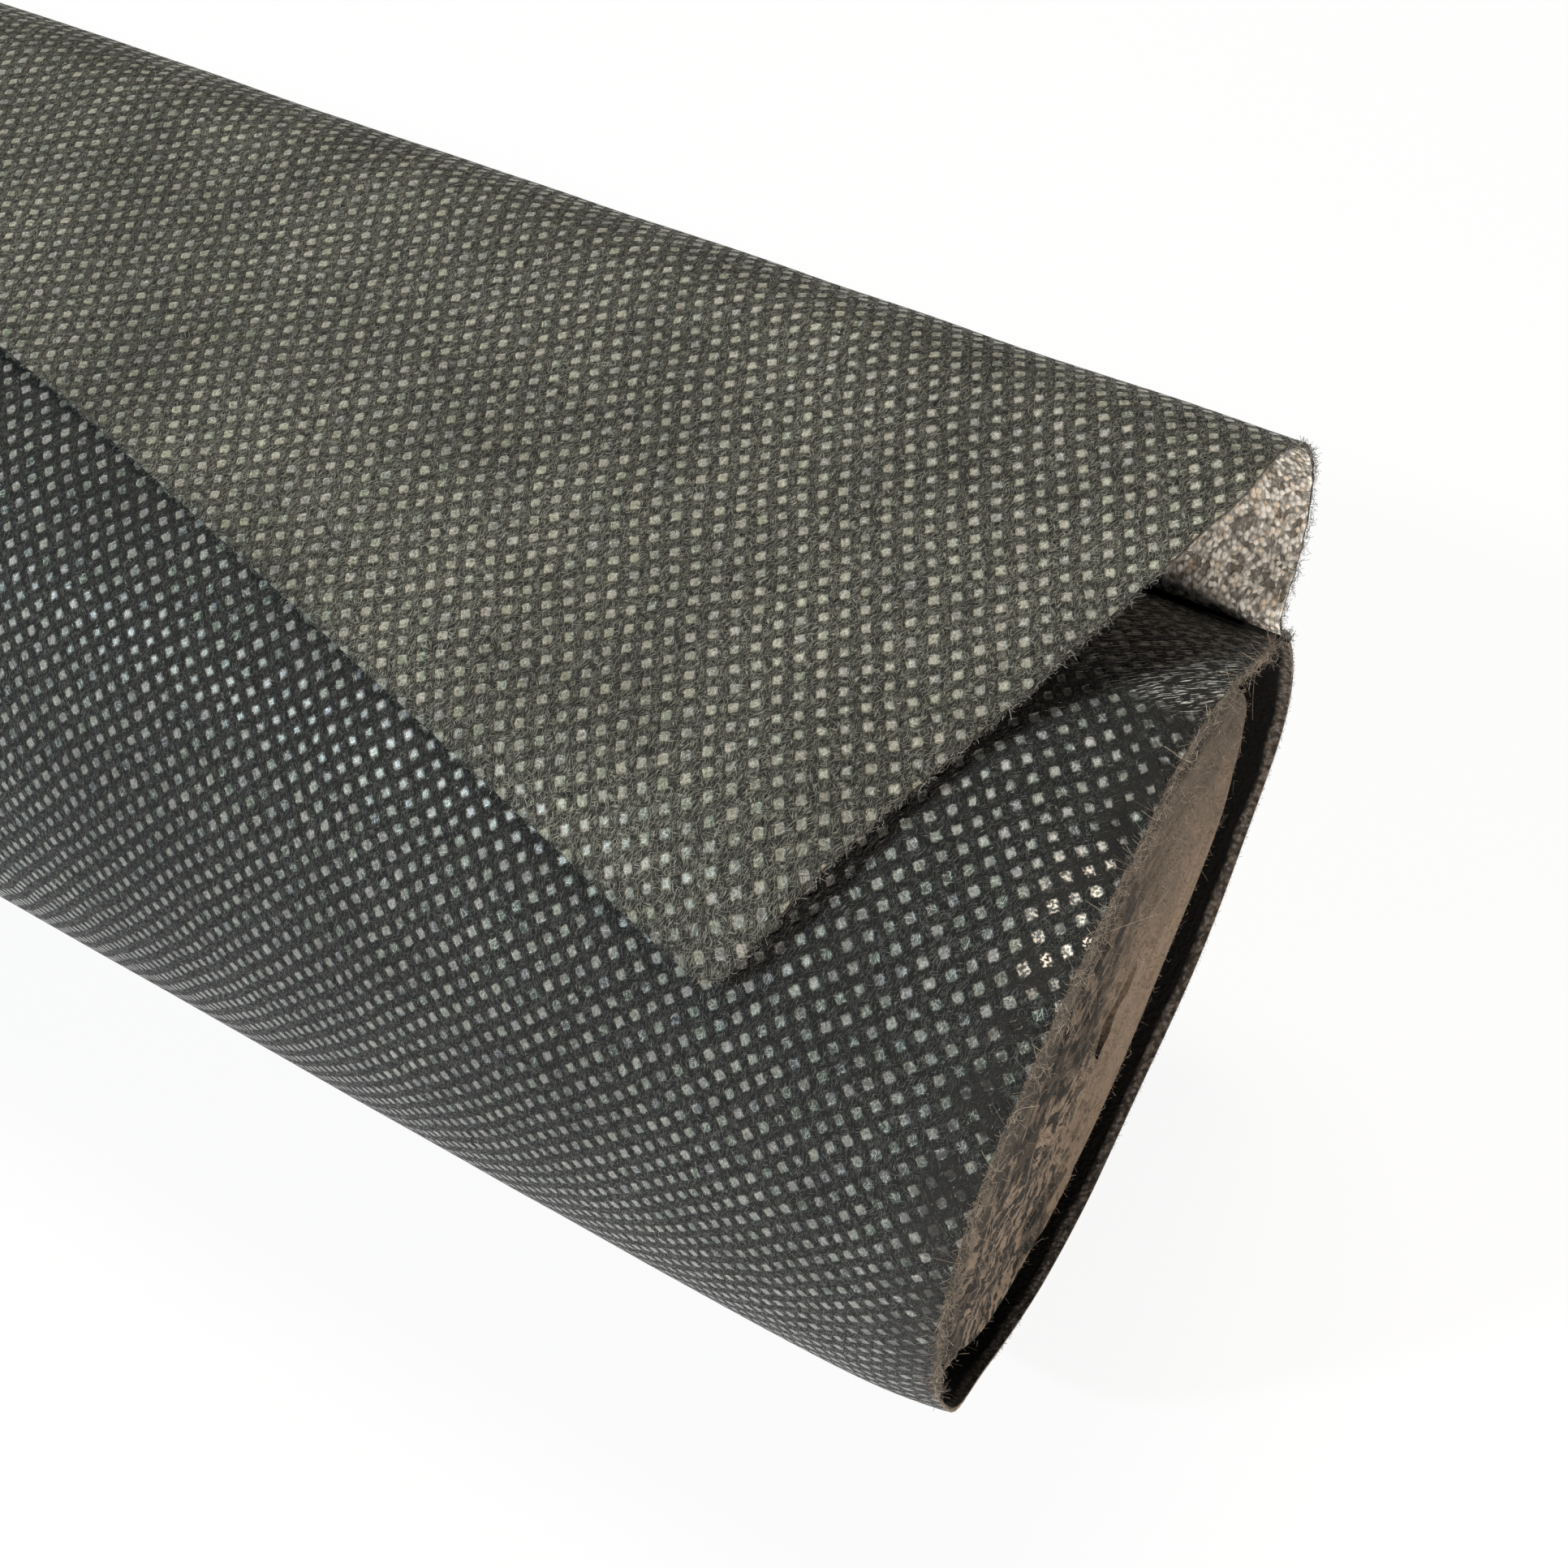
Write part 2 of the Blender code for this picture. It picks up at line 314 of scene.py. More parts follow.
def bond_points(tree, place, size_share=POINT_SIZE_SHARE):
    """How much a place belongs to a bond point or its rim, the point's tilt, and its own random
    number and colour."""
    rows = []
    for sign in (1, -1):
        weights = (1 / AXIAL_DIAGONAL, sign / AROUND_DIAGONAL, 0.0)
        rows.append(vector("DOT_PRODUCT", place, weights))
    cell = joined(rows[0], rows[1], 0.0)
    number = vector("FLOOR", cell)
    own = add(tree, "ShaderNodeTexWhiteNoise", {"Vector": number}, noise_dimensions="2D").outputs
    ragged = speckle(place, 3600.0, 2.0)[0]
    powers = []
    for row in rows:
        from_middle = calc("ABSOLUTE", minus(calc("FRACT", row), 0.5))
        powers.append(calc("POWER", from_middle, POINT_SQUARENESS))
    reach = calc("POWER", plus(*powers), 1 / POINT_SQUARENESS)
    reach = plus(reach, times(minus(ragged, 0.5), 0.18))
    half = size_share / 2
    share = ramp(reach, half + 0.05, half - 0.05)
    rim = times(share, ramp(reach, half - 0.12, half - 0.02))
    lean = vector("SUBTRACT", own["Color"], MIDDLE)
    tilt = vector("DOT_PRODUCT", vector("SUBTRACT", cell, number), lean)
    return share, rim, tilt, own["Value"], own["Color"]


# %% [markdown]
# Between the points lie the threads, 0.02 mm thick, in every direction. Noise that is stretched a lot
# along one direction looks like a bundle of parallel threads, and a few such layers laid across each
# other, each bent by a slower noise, look like felt. The brightest threads win, as they lie on top.

# %% Threads between the points
THREAD_LENGTH = 0.00075
THREAD_WIDTH = 0.000075
THREAD_BEND = 0.0011
THREAD_ANGLES = (95.0, 75.0, 58.0, 112.0, 35.0, 150.0)


def threads(uv, angles=THREAD_ANGLES):
    """The height of the topmost thread at a place: about 0.5 in the gaps and 0.85 on the highest."""
    bent = vector("MULTIPLY_ADD", speckle(uv, 420.0, 1.0)["Color"], (THREAD_BEND,) * 3, uv)
    top = 0.0
    for number, angle in enumerate(angles):
        turned = turned_by(bent, angle)
        stretch, shift = (1 / THREAD_LENGTH, 1 / THREAD_WIDTH, 1.0), (number * 7.3, number * 3.1, 0)
        drawn = vector("MULTIPLY_ADD", turned, stretch, shift)
        top = calc("MAXIMUM", top, speckle(drawn, 1.0, 0.0, noise_dimensions="2D")[0])
    return top


# %% [markdown]
# The face material joins both. The ground is nearly black with grey threads, the points are paler and
# smoother, so they glint, and their rims catch the light because the roller pressed them in. Slow
# changes of tone over the sheet keep the whole from looking printed. The loose wrap is a single sheet
# with light all round it, so its ground looks greyer and warmer than that of the wound turns, which
# lie on black in shade. It is the same material in two tones of painted light and shade: the loose
# wrap's are painted paler and warmer, the wound turns' are painted darker.

# %% Tones of the face
TINT_SHARE = 0.015
# Painted light and shade: the loose wrap's tones are painted paler and warmer as lit all round, the wound
# turns' darker as shaded.
LOOSE_TONES = {"gap": (0.0030, 0.0030, 0.0026, 1), "ground": (0.043, 0.041, 0.034, 1),
               "thread": (0.190, 0.183, 0.150, 1), "dim": (0.108, 0.104, 0.083, 1),
               "bright": (0.205, 0.198, 0.157, 1), "glint": (0.430, 0.416, 0.352, 1)}
WOUND_TONES = {"gap": (0.0005, 0.0005, 0.0005, 1), "ground": (0.0048, 0.0050, 0.0048, 1),
               "thread": (0.055, 0.057, 0.054, 1), "dim": (0.034, 0.035, 0.032, 1),
               "bright": (0.155, 0.160, 0.145, 1), "glint": (0.360, 0.372, 0.350, 1)}

# %% [markdown]
# Near the end of the roll the points along the rim are darker in cloudy patches, and some are painted
# pale as sparkles, standing in for the glints of points that face the warm light. At the crest's foot
# the points are gone and the threads are combed one way, painted bright as glints on a dark ground.
# Both are worked out from the UV map, so each stays at its place on the sheet.

# %% Darker patches and painted sparkles at the rim, painted glints at the crest's foot
NEAR_END_DARK = (0.012, 0.011, 0.010, 1)
PAINTED_SPARKLE = (0.900, 0.770, 0.650, 1)
COMBED_THREAD_GLINT = (0.850, 0.830, 0.760, 1)
RIM_ZONE_REACH = 0.0060
SPARKLES_AT = 0.2050
SPARKLES_WIDTH = 0.009
COMBED_FROM = 0.2222
COMBED_REACH = 0.040
COMBED_ANGLE = -48.0
COMBED_LENGTH = 0.0014
COMBED_WIDTH = 0.00009


def rim_patches_and_sparkles(uv, point, own, colour):
    """The colour with points darker in cloudy patches and painted sparkles near the selvedge, and how
    crumpled a place is.
    """
    sides = parts(uv)
    zone = ramp(minus(0.0, sides[0]), RIM_ZONE_REACH * 0.3, RIM_ZONE_REACH, 1.0, 0.0)
    clouds = speckle(uv, 330.0, 2.0)[0]
    # Darker in cloudy patches near the rim, the same patches that the relief crumples.
    darker_patches = times(zone, ramp(clouds, 0.40, 0.54, 0.0, 0.92))
    patched = blend_colours(darker_patches, colour, NEAR_END_DARK)
    # Painted sparkles: points near the rim that face the warm light are painted pale, as glints.
    off = calc("ABSOLUTE", minus(sides[1], SPARKLES_AT))
    here = times(zone, ramp(off, 0.0, SPARKLES_WIDTH, 1.0, 0.0))
    painted_sparks = times(times(here, point), ramp(own, 0.2, 0.7))
    painted_sparks = times(painted_sparks, ramp(speckle(uv, 4200.0, 1.0)[0], 0.46, 0.60))
    return blend_colours(painted_sparks, patched, PAINTED_SPARKLE), times(zone, clouds)


def combed_fold(uv, colour):
    """The colour with threads that lie all one way at the crest's foot, near the end, painted bright as
    glints on a dark ground.
    """
    sides = parts(uv)
    near_fold = ramp(sides[1], COMBED_FROM, COMBED_FROM + 0.0030)
    near_end = ramp(sides[0], -COMBED_REACH, -COMBED_REACH / 2)
    bent = vector("MULTIPLY_ADD", speckle(uv, 500.0, 1.0)["Color"], (0.0006, 0.0, 0.0), uv)
    turned = turned_by(bent, COMBED_ANGLE)
    drawn = vector("MULTIPLY", turned, (1 / COMBED_LENGTH, 1 / COMBED_WIDTH, 1.0))
    strokes = speckle(drawn, 1.0, 2.0, noise_dimensions="2D")[0]
    # Painted glints: in the crest's shade the combed threads are painted bright, nearly white.
    combed = blend_colours(ramp(strokes, 0.58, 0.68), NEAR_END_DARK, COMBED_THREAD_GLINT)
    share = times(times(near_fold, near_end), 0.92)
    return blend_colours(share, colour, combed)


# %% [markdown]
# Now the whole face: felt and threads first, then the points on them, then the darker patches, painted
# sparkles and painted glints near the end, and last the relief. The threads stand up between the
# points, and the roller pressed the points nearly flat.

# %% Face of the fabric


def fabric_face(name, tones, gloss, rim_marks):
    material, tree, shader = new_material(name, 0.5, gloss)
    uv, place = sheet_coordinates(tree)
    point, rim, tilt, own, own_colour = bond_points(tree, place)
    thread = threads(uv)
    tone = ramp(speckle(uv, 60.0, 3.0)[0], 0.3, 0.7, 0.8, 1.2)
    on_top = ramp(thread, 0.72, 0.80)
    # Between the threads the felt is darkest: partly the black fabric, partly painted shade deep in the
    # pile.
    felt = blend_colours(ramp(thread, 0.55, 0.66), tones["gap"], tones["ground"])
    ground = blend_colours(on_top, felt, tones["thread"])
    fused = blend_colours(own, tones["dim"], tones["bright"])
    # Painted highlight: where the topmost threads cross a point, its colour is painted towards the pale
    # glint tone.
    glinting = blend_colours(times(on_top, 0.7), fused, tones["glint"])
    nicks = ramp(speckle(place, 5200.0, 1.0)[0], 0.54, 0.70, 0.0, 0.6)
    nicked = blend_colours(nicks, glinting, tones["gap"])
    colour = blend_colours(point, ground, blend_colours(TINT_SHARE, nicked, own_colour))
    smoothest = calc("MAXIMUM", point, on_top)
    tree.links.new(ramp(smoothest, 0.0, 1.0, 0.85, 0.29), shader.inputs["Roughness"])
    loft = times(thread, ramp(point, 0.0, 1.0, 2.2, 0.12))
    pressed = times(point, minus(times(tilt, 0.9), 0.9))
    height = plus(plus(loft, pressed), times(rim, 0.35))
    if rim_marks:
        colour, crumple = rim_patches_and_sparkles(uv, point, own, colour)
        colour = combed_fold(uv, colour)
        height = plus(height, times(crumple, 5.0))
    toned = add(tree, "ShaderNodeVectorMath", {0: colour, "Scale": tone}, operation="SCALE").outputs[0]
    finish_shader(shader, toned, height, 1.0)
    return material


FACE = fabric_face("face of the loose wrap", LOOSE_TONES, 0.25, False)
FACE_OF_TURNS = fabric_face("face of the wound turns", WOUND_TONES, 0.35, True)
print("faces: lattice of", AXIAL_DIAGONAL, "by", AROUND_DIAGONAL, "m diagonals")

# %% [markdown]
# ## The fabric's back and its edges
# The back of the sheet was not pressed by the points, so it is a coarse, mottled felt with the points
# only just showing through. Its mottle comes from rounded cells, each with a random tone of its own. In
# the open end of the crest, where it is a single layer with strong light on it, its colour is painted
# pale for that light, and it keeps a darker tone everywhere else: on the flap and deeper in the crest.
# Down at the crest's foot, where the sheet lies double, it is painted nearly black as shade, and on the
# wound turns it is painted black as shade beyond a strip just behind the rim.

# %% Back of the fabric
# Painted light: these pale tones stand in for the strong light on the crest's open end.
PAINTED_LIGHT_BACK = ((0.060, 0.056, 0.048, 1), (1.000, 0.980, 0.930, 1))
DIM_BACK = ((0.030, 0.027, 0.024, 1), (0.175, 0.160, 0.145, 1))
DEEP_BACK = ((0.024, 0.023, 0.020, 1), (0.165, 0.158, 0.136, 1))
# Painted shade, nearly black: at the crest's foot, and behind the wound turns' rim.
PAINTED_SHADE_BLACK = (0.005, 0.005, 0.005, 1)
WARM_CLUMP = (0.900, 0.800, 0.700)
LEAN_OF_THE_FOOT = 0.228


def fabric_back(name, tones, deep_tones, showing_through, pale_run, fade_run, pale_from, pale_until):
    """The back of the sheet: in the first tones near the end, between two distances from the hinge
    line, and in the deep tones elsewhere."""
    material, tree, shader = new_material(name, 0.85, 0.08)
    uv, place = sheet_coordinates(tree)
    point = bond_points(tree, place, 0.4)[0]
    thread = threads(uv, THREAD_ANGLES[:3])
    clumps = add(tree, "ShaderNodeTexVoronoi", {"Vector": uv, "Scale": 2300.0, "Smoothness": 0.5},
                 feature="SMOOTH_F1").outputs
    own = parts(clumps["Color"])
    between = ramp(clumps["Distance"], 0.30, 0.75, 1.0, 0.45)
    mottle = times(ramp(own[0], 0.08, 0.72, 0.18, 1.0), between)
    mottle = plus(mottle, ramp(thread, 0.70, 0.80, 0.0, 0.25))
    share = calc("MINIMUM", mottle, 1.0)
    plain = blend_colours(share, *tones)
    warmed = vector("MULTIPLY", plain, WARM_CLUMP)
    colour = blend_colours(ramp(own[1], 0.55, 0.85), plain, warmed)
    shown = blend_colours(times(point, showing_through), colour, tones[0])
    across = parts(place)
    behind = minus(0.0, across[0])
    inside = ramp(behind, pale_run, pale_run + fade_run)
    towards_foot = calc("MULTIPLY_ADD", behind, LEAN_OF_THE_FOOT, across[1])
    # Painted shade at the crest's foot, where the sheet lies double, near the end.
    foot = ramp(towards_foot, pale_until, pale_until + 0.0010)
    foot = times(foot, minus(1.0, inside))
    on_flap = ramp(towards_foot, pale_from + 0.003, pale_from - 0.003)
    deep = blend_colours(share, *deep_tones)
    faded = blend_colours(calc("MAXIMUM", inside, on_flap), shown, deep)
    finish_shader(shader, blend_colours(foot, faded, PAINTED_SHADE_BLACK), mottle, 0.8)
    return material


BACK = fabric_back("back of the loose wrap", PAINTED_LIGHT_BACK, DEEP_BACK, showing_through=0.18, pale_run=0.034,
                   fade_run=0.02, pale_from=0.002, pale_until=CREST_RUN + 0.0023)
# The wound turns' back keeps its own tone just behind the rim and is painted black as shade beyond.
BACK_OF_TURNS = fabric_back("back of the wound turns", DIM_BACK, (PAINTED_SHADE_BLACK, PAINTED_SHADE_BLACK),
                            showing_through=0.75, pale_run=0.0006, fade_run=0.0006, pale_from=-1.0,
                            pale_until=1.0)

# %% [markdown]
# A cut edge is the ends of many threads. It has no lattice, so plain noise is enough: fine noise for
# the ends, and slower noise for the darker stretches between them. The turns' edges are painted paler
# and warmer, as the warm light on the roll's end makes them look.

# %% Edge of the sheet
EDGE_TONES = ((0.008, 0.008, 0.007, 1), (0.110, 0.105, 0.090, 1))
# Partly painted warm light: the turns' edges are painted paler and warmer than the loose wrap's.
WARM_EDGE_TONES = ((0.035, 0.030, 0.025, 1), (0.300, 0.245, 0.195, 1))


def sheet_edge(name, tones):
    material, tree, shader = new_material(name, 0.85, 0.15)
    place = add(tree, "ShaderNodeTexCoord").outputs["Object"]
    ends = speckle(place, 3200.0, 3.0)[0]
    patches = speckle(place, 260.0, 2.0)[0]
    share = times(ramp(ends, 0.3, 0.7), ramp(patches, 0.3, 0.65, 0.35, 1.0))
    finish_shader(shader, blend_colours(share, *tones), ends, 0.9)
    return material


EDGE = sheet_edge("edge of the loose wrap", EDGE_TONES)
EDGE_OF_TURNS = sheet_edge("edge of the wound turns", WARM_EDGE_TONES)

# %% [markdown]
# ## The outer turns
# Four turns of the sheet lie round the tight inner ones, the first of them under the flap. Their shape
# follows one rule, a spiral, so a geometry tree makes them from a flat grid: one side of the grid runs
# along the roll, closer together near the photographed end, and the other is wound up by sines and
# cosines. The tree also writes the UV map in metres, so the lattice runs on from the crest.

# %% A geometry tree that winds a grid into a spiral
STEPS_PER_TURN = 96


def tree_with_inputs(name, inputs):
    """A geometry tree with named inputs, and its input and output nodes."""
    tree = bpy.data.node_groups.new(name, "GeometryNodeTree")
    tree.interface.new_socket(name="Geometry", in_out="INPUT", socket_type="NodeSocketGeometry")
    for label, kind, value in inputs:
        socket = tree.interface.new_socket(name=label, in_out="INPUT", socket_type="NodeSocket" + kind)
        if value is not None:
            socket.default_value = value
    tree.interface.new_socket(name="Geometry", in_out="OUTPUT", socket_type="NodeSocketGeometry")
    return tree, tree.nodes.new("NodeGroupInput").outputs, tree.nodes.new("NodeGroupOutput")


def end_tree(tree, geometry, material, output):
    """Every tree ends in real geometry with its material on it."""
    real = add(tree, "GeometryNodeRealizeInstances", {"Geometry": geometry}).outputs[0]
    done = add(tree, "GeometryNodeSetMaterial", {"Geometry": real, "Material": material}).outputs[0]
    tree.links.new(done, output.inputs[0])


def winding_tree():
    tree, given, output = tree_with_inputs("winding", [
        ("Width", "Float", SHEET_WIDTH), ("Start Radius", "Float", SHEET_RADIUS),
        ("Turn Pitch", "Float", TURN_PITCH), ("Turns", "Float", OUTER_TURNS),
        ("Start Angle", "Float", math.radians(START_AT)), ("Floor", "Float", LOWEST),
        ("Start Run", "Float", CREST_RUN), ("Stations", "Int", 70),
        ("Steps", "Int", OUTER_TURNS * STEPS_PER_TURN + 1), ("Closeness", "Float", 2.6),
        ("Material", "Material", None)])
    grid = add(tree, "GeometryNodeMeshGrid", {"Size X": 1.0, "Size Y": 1.0,
               "Vertices X": given["Stations"], "Vertices Y": given["Steps"]})
    share = parts(grid.outputs["UV Map"])
    behind = times(calc("POWER", share[0], given["Closeness"]), given["Width"])
    along_x = minus(0.0, behind)
    swept = times(share[1], given["Turns"])
    radius = minus(given["Start Radius"], times(swept, given["Turn Pitch"]))
    angle = minus(given["Start Angle"], times(swept, math.tau))
    level = times(calc("FLOOR", swept), given["Turn Pitch"])
    rest = minus(level, given["Floor"])
    high = calc("MAXIMUM", times(radius, calc("SINE", angle)), rest)
    side = times(radius, calc("COSINE", angle))
    place = joined(along_x, side, high)
    wound = add(tree, "GeometryNodeSetPosition", {"Geometry": grid.outputs["Mesh"], "Position": place})
    mean = times(plus(given["Start Radius"], radius), math.pi)
    run = calc("MULTIPLY_ADD", mean, swept, given["Start Run"])
    flat = joined(along_x, run, 0.0)
    mapped = add(tree, "GeometryNodeStoreNamedAttribute",
                 {"Geometry": wound.outputs[0], "Name": "UVMap", "Value": flat},
                 data_type="FLOAT2", domain="CORNER")
    end_tree(tree, mapped.outputs[0], given["Material"], output)
    return tree


def run_tree(name, tree, values, mesh=None):
    """Runs a geometry tree once and keeps what it makes as a plain mesh."""
    source = put_in_scene(name, mesh or bpy.data.meshes.new(name))
    modifier = source.modifiers.new("tree", "NODES")
    modifier.node_group = tree
    for socket in tree.interface.items_tree:
        if socket.in_out == "INPUT" and socket.name in values:
            modifier[socket.identifier] = values[socket.name]
    source.update_tag()
    bpy.context.view_layer.update()
    evaluated = source.evaluated_get(bpy.context.evaluated_depsgraph_get())
    made = bpy.data.meshes.new_from_object(evaluated)
    bpy.data.objects.remove(source)
    made.name = name
    return made


turns_mesh = run_tree("outer turns", winding_tree(), {"Material": FACE_OF_TURNS})
print("outer turns:", len(turns_mesh.vertices), "points")

# %% [markdown]
# ## How the near end lies
# No roll ends in a clean circle. The rim of the outermost wrap wanders by half a millimetre and leans
# a little. Low on the front the whole winding is pressed in, most of all at the rim, and the rim has a
# shallow dent under the crest. The turns inside the outermost one fall back, and on the far side they
# fall back so far that a dark hollow is left behind the rim. All these are small moves, worked out from
# a point's angle, its distance behind the rim and its distance from the axis.

# %% Ways in which the winding leaves its round shape
CORE_RECESS = 0.0018
CORE_SKEW = 2.2
CORE_DEEPEST_AT = -40.0
FLUSH_SWEEP = 338.0
RECESS_SWEEP = 50.0
RIM_LEAN = 0.0007
RIM_WAVE = 0.00018
PRESSED_AT = 193.0
PRESSED_WIDTH = 28.0
PRESSED_DEPTHS = ((0.0010, 0.25, 2), (0.0006, 0.03, 1), (0.0017, 0.004, 1))
CURL_DEPTH = 0.0007
CURL_REACH = 0.005
CURL_AT = 128.0
CURL_WIDTH = 24.0
DENT_DEPTH = 0.0011
DENT_AT = 101.0
DENT_WIDTH = 6.0
DENT_BEHIND = 0.002
DENT_REACH = 0.005
HOLLOW_DEPTH = 0.007
HOLLOW_RADIUS = 0.0294
FAR_SIDE_AT = -42.0
FAR_SIDE_HALF = 104.0
FAR_SIDE_EASE = 26.0
WANDERS = ((1.0, 3, 40, 97), (0.6, 7, 0, 31))
SLOW_SWELL = (1.0, 38.0, 55.0, 3.7)
QUICK_SWELL = (0.35, 110.0, 130.0, 9.1)


def bell(value, middle, width):
    return math.exp(-(((value - middle) / width) ** 2))


def recess(y, z):
    """How far the tight turns' end lies behind the rim, at a place of the section."""
    deepest = polar(1, CORE_DEEPEST_AT)
    return CORE_RECESS + math.tan(math.radians(CORE_SKEW)) * (y * deepest.x + z * deepest.y)


def far_side(angle):
    """1 on the side away from the camera, 0 on the front, with a gentle change between them."""
    off = abs((angle - FAR_SIDE_AT + 180.0) % 360.0 - 180.0)
    return smooth((FAR_SIDE_HALF - off) / FAR_SIDE_EASE)


def hollow(angle, radius):
    """How far the loosely wound turns fall back further on the far side, behind the rim."""
    return HOLLOW_DEPTH * far_side(angle) * smooth((radius - HOLLOW_RADIUS) / 0.0006)


def rim_wander(angle, turn):
    """How far the rim stands out at an angle."""
    wave = sum(size * math.sin(math.radians(times_round * angle + start + own * turn))
               for size, times_round, start, own in WANDERS)
    return RIM_WAVE * wave - RIM_LEAN * far_side(angle)


def pressed_in(angle, behind):
    """How far the winding lies inside its round shape."""
    behind = max(behind, 0.0)
    low = sum(depth * math.exp(-((behind / reach) ** power)) for depth, reach, power in PRESSED_DEPTHS)
    curl = CURL_DEPTH * smooth(1 - behind / CURL_REACH) * bell(angle, CURL_AT, CURL_WIDTH)
    dent = DENT_DEPTH * bell(angle, DENT_AT, DENT_WIDTH) * bell(behind, DENT_BEHIND, DENT_REACH)
    return low * bell(angle, PRESSED_AT, PRESSED_WIDTH) + curl + dent


def undulate(x, run, size):
    """A slow rise and fall of the cloth, the same for every piece at the same place on the sheet."""
    swells = [share * noise.noise(Vector((x * across, run * down, start)))
              for share, across, down, start in (SLOW_SWELL, QUICK_SWELL)]
    return size * sum(swells)


# %% [markdown]
# The winding is a plain mesh by now, so each of its points can be moved by these rules. A point's place
# in the section gives its angle, and its UV coordinate says how far round the winding it lies.

# %% Shape the outer turns
TURNS_SWELL = 0.00016
END_REACH = 0.05


def shape_turns(mesh):
    runs = np.zeros(len(mesh.loops) * 2, np.float32)
    mesh.uv_layers["UVMap"].data.foreach_get("uv", runs)
    vertices = np.zeros(len(mesh.loops), np.int32)
    mesh.loops.foreach_get("vertex_index", vertices)
    run_of = np.zeros(len(mesh.vertices))
    run_of[vertices] = runs[1::2]
    for vertex in mesh.vertices:
        behind, point = -vertex.co.x, Vector((vertex.co.y, vertex.co.z))
        distance = run_of[vertex.index] - CREST_RUN
        swept = math.degrees(distance / SHEET_RADIUS)
        swept *= 1 + TURN_PITCH * swept / 720.0 / SHEET_RADIUS
        angle = (START_AT - swept) % 360.0
        inner = smooth((swept - FLUSH_SWEEP) / RECESS_SWEEP)
        near_end = 1 - smooth(behind / END_REACH)
        far_end = smooth((behind - SHEET_WIDTH + END_REACH) / END_REACH)
        fall = recess(point.x, point.y) * inner + hollow(angle, SHEET_RADIUS) * inner * near_end
        step = rim_wander(angle, swept // 360.0)
        vertex.co.x = RIM_X - behind - fall + step * (near_end - far_end)
        out = undulate(behind, run_of[vertex.index], TURNS_SWELL) - pressed_in(angle, RIM_X - vertex.co.x)
        lowered = smooth((point.y + LOWEST) / 0.004)
        moved = point + point.normalized() * out * lowered * smooth(distance / 0.02)
        vertex.co.y, vertex.co.z = AXIS_Y + moved.x, AXIS_Z + moved.y


shape_turns(turns_mesh)

# %% [markdown]
# A mesh has no thickness. The Solidify modifier gives it one, with the back and the edges in materials
# of their own.

# %% Give a sheet its thickness


def thicken(name, mesh, sides):
    """Makes a mesh a sheet: its face outwards, its back inwards, and its edges round it."""
    mesh.materials.clear()
    for material in sides:
        mesh.materials.append(material)
    piece = put_in_scene(name, mesh)
    mesh.shade_smooth()
    solid = piece.modifiers.new("thickness", "SOLIDIFY")
    solid.thickness = SHEET_THICKNESS
    solid.offset = 0.0
    solid.material_offset = 1
    solid.material_offset_rim = 2
    return piece


def face_outwards(mesh):
    """Turns the faces so that most of them look away from the roll's axis."""
    axis = Vector((0, AXIS_Y, AXIS_Z))
    bm = bmesh.new()
    bm.from_mesh(mesh)
    if sum(face.normal.yz.dot((face.calc_center_median() - axis).yz) for face in bm.faces) < 0:
        bmesh.ops.reverse_faces(bm, faces=bm.faces)
    bm.to_mesh(mesh)
    bm.free()


face_outwards(turns_mesh)
outer = thicken("outer_turns_of_fabric", turns_mesh, (FACE_OF_TURNS, BACK_OF_TURNS, EDGE_OF_TURNS))
print("outer turns:", len(turns_mesh.polygons), "faces before their thickness")

# %% [markdown]
# ## The loose wrap
# The crest and the flap are one cloth. It is built as a single grid that follows the path from the cut
# edge to the crest's foot. The near selvedge is drawn back towards the corner, and the cut edge runs
# obliquely to the roll before it turns level.

# %% Build the loose wrap
CREST_SETBACK = 0.0038
FLAP_CORNER_SETBACK = 0.0208
FLAP_LEVEL_WIDTH = 0.0225
FLAP_EDGE_SKEW = 15.2
FLAP_EDGE_EASE = 0.004
FLAP_ROWS = 50
CREST_ROWS = 60
NEAR_STATIONS = 120
FAR_STATIONS = 40
NEAR_STRETCH = 0.15
LEAN_ACROSS = 0.30
LEAN_ALONG = 0.19
LEAN_SPREAD = 2.86
LEAN_REACH = 0.17
LEAN_EASE = 0.03
CORNER_LIFT = 0.0019
LIFT_AT = -0.039
WRAP_SWELL = 0.00022
CORNER_ROUNDING = 0.0012
ROUNDED_FROM = 0.93
SELVEDGE_WAVES = ((0.00012, 0.35, 0.0, 5.0), (0.00016, 0.83, 3.0, 1.0))


def flap_width(x):
    """From the hinge line to the cut edge, at a place along the roll."""
    back = max(RIM_X - FLAP_CORNER_SETBACK - x, 0.0)
    slope = math.tan(math.radians(FLAP_EDGE_SKEW))
    over = CORNER_WIDTH - FLAP_LEVEL_WIDTH - slope * back
    return FLAP_LEVEL_WIDTH + (over + math.hypot(over, FLAP_EDGE_EASE)) / 2


def stations(near_x):
    """Places along the roll, close together near the photographed end."""
    turn_x = RIM_X - NEAR_STRETCH
    far_x = max(near_x, RIM_X - CREST_SETBACK) - SHEET_WIDTH
    near = [near_x + (turn_x - near_x) * (index / NEAR_STATIONS) ** 1.3 for index in range(NEAR_STATIONS)]
    return near + [turn_x + (far_x - turn_x) * index / FAR_STATIONS for index in range(FAR_STATIONS + 1)]


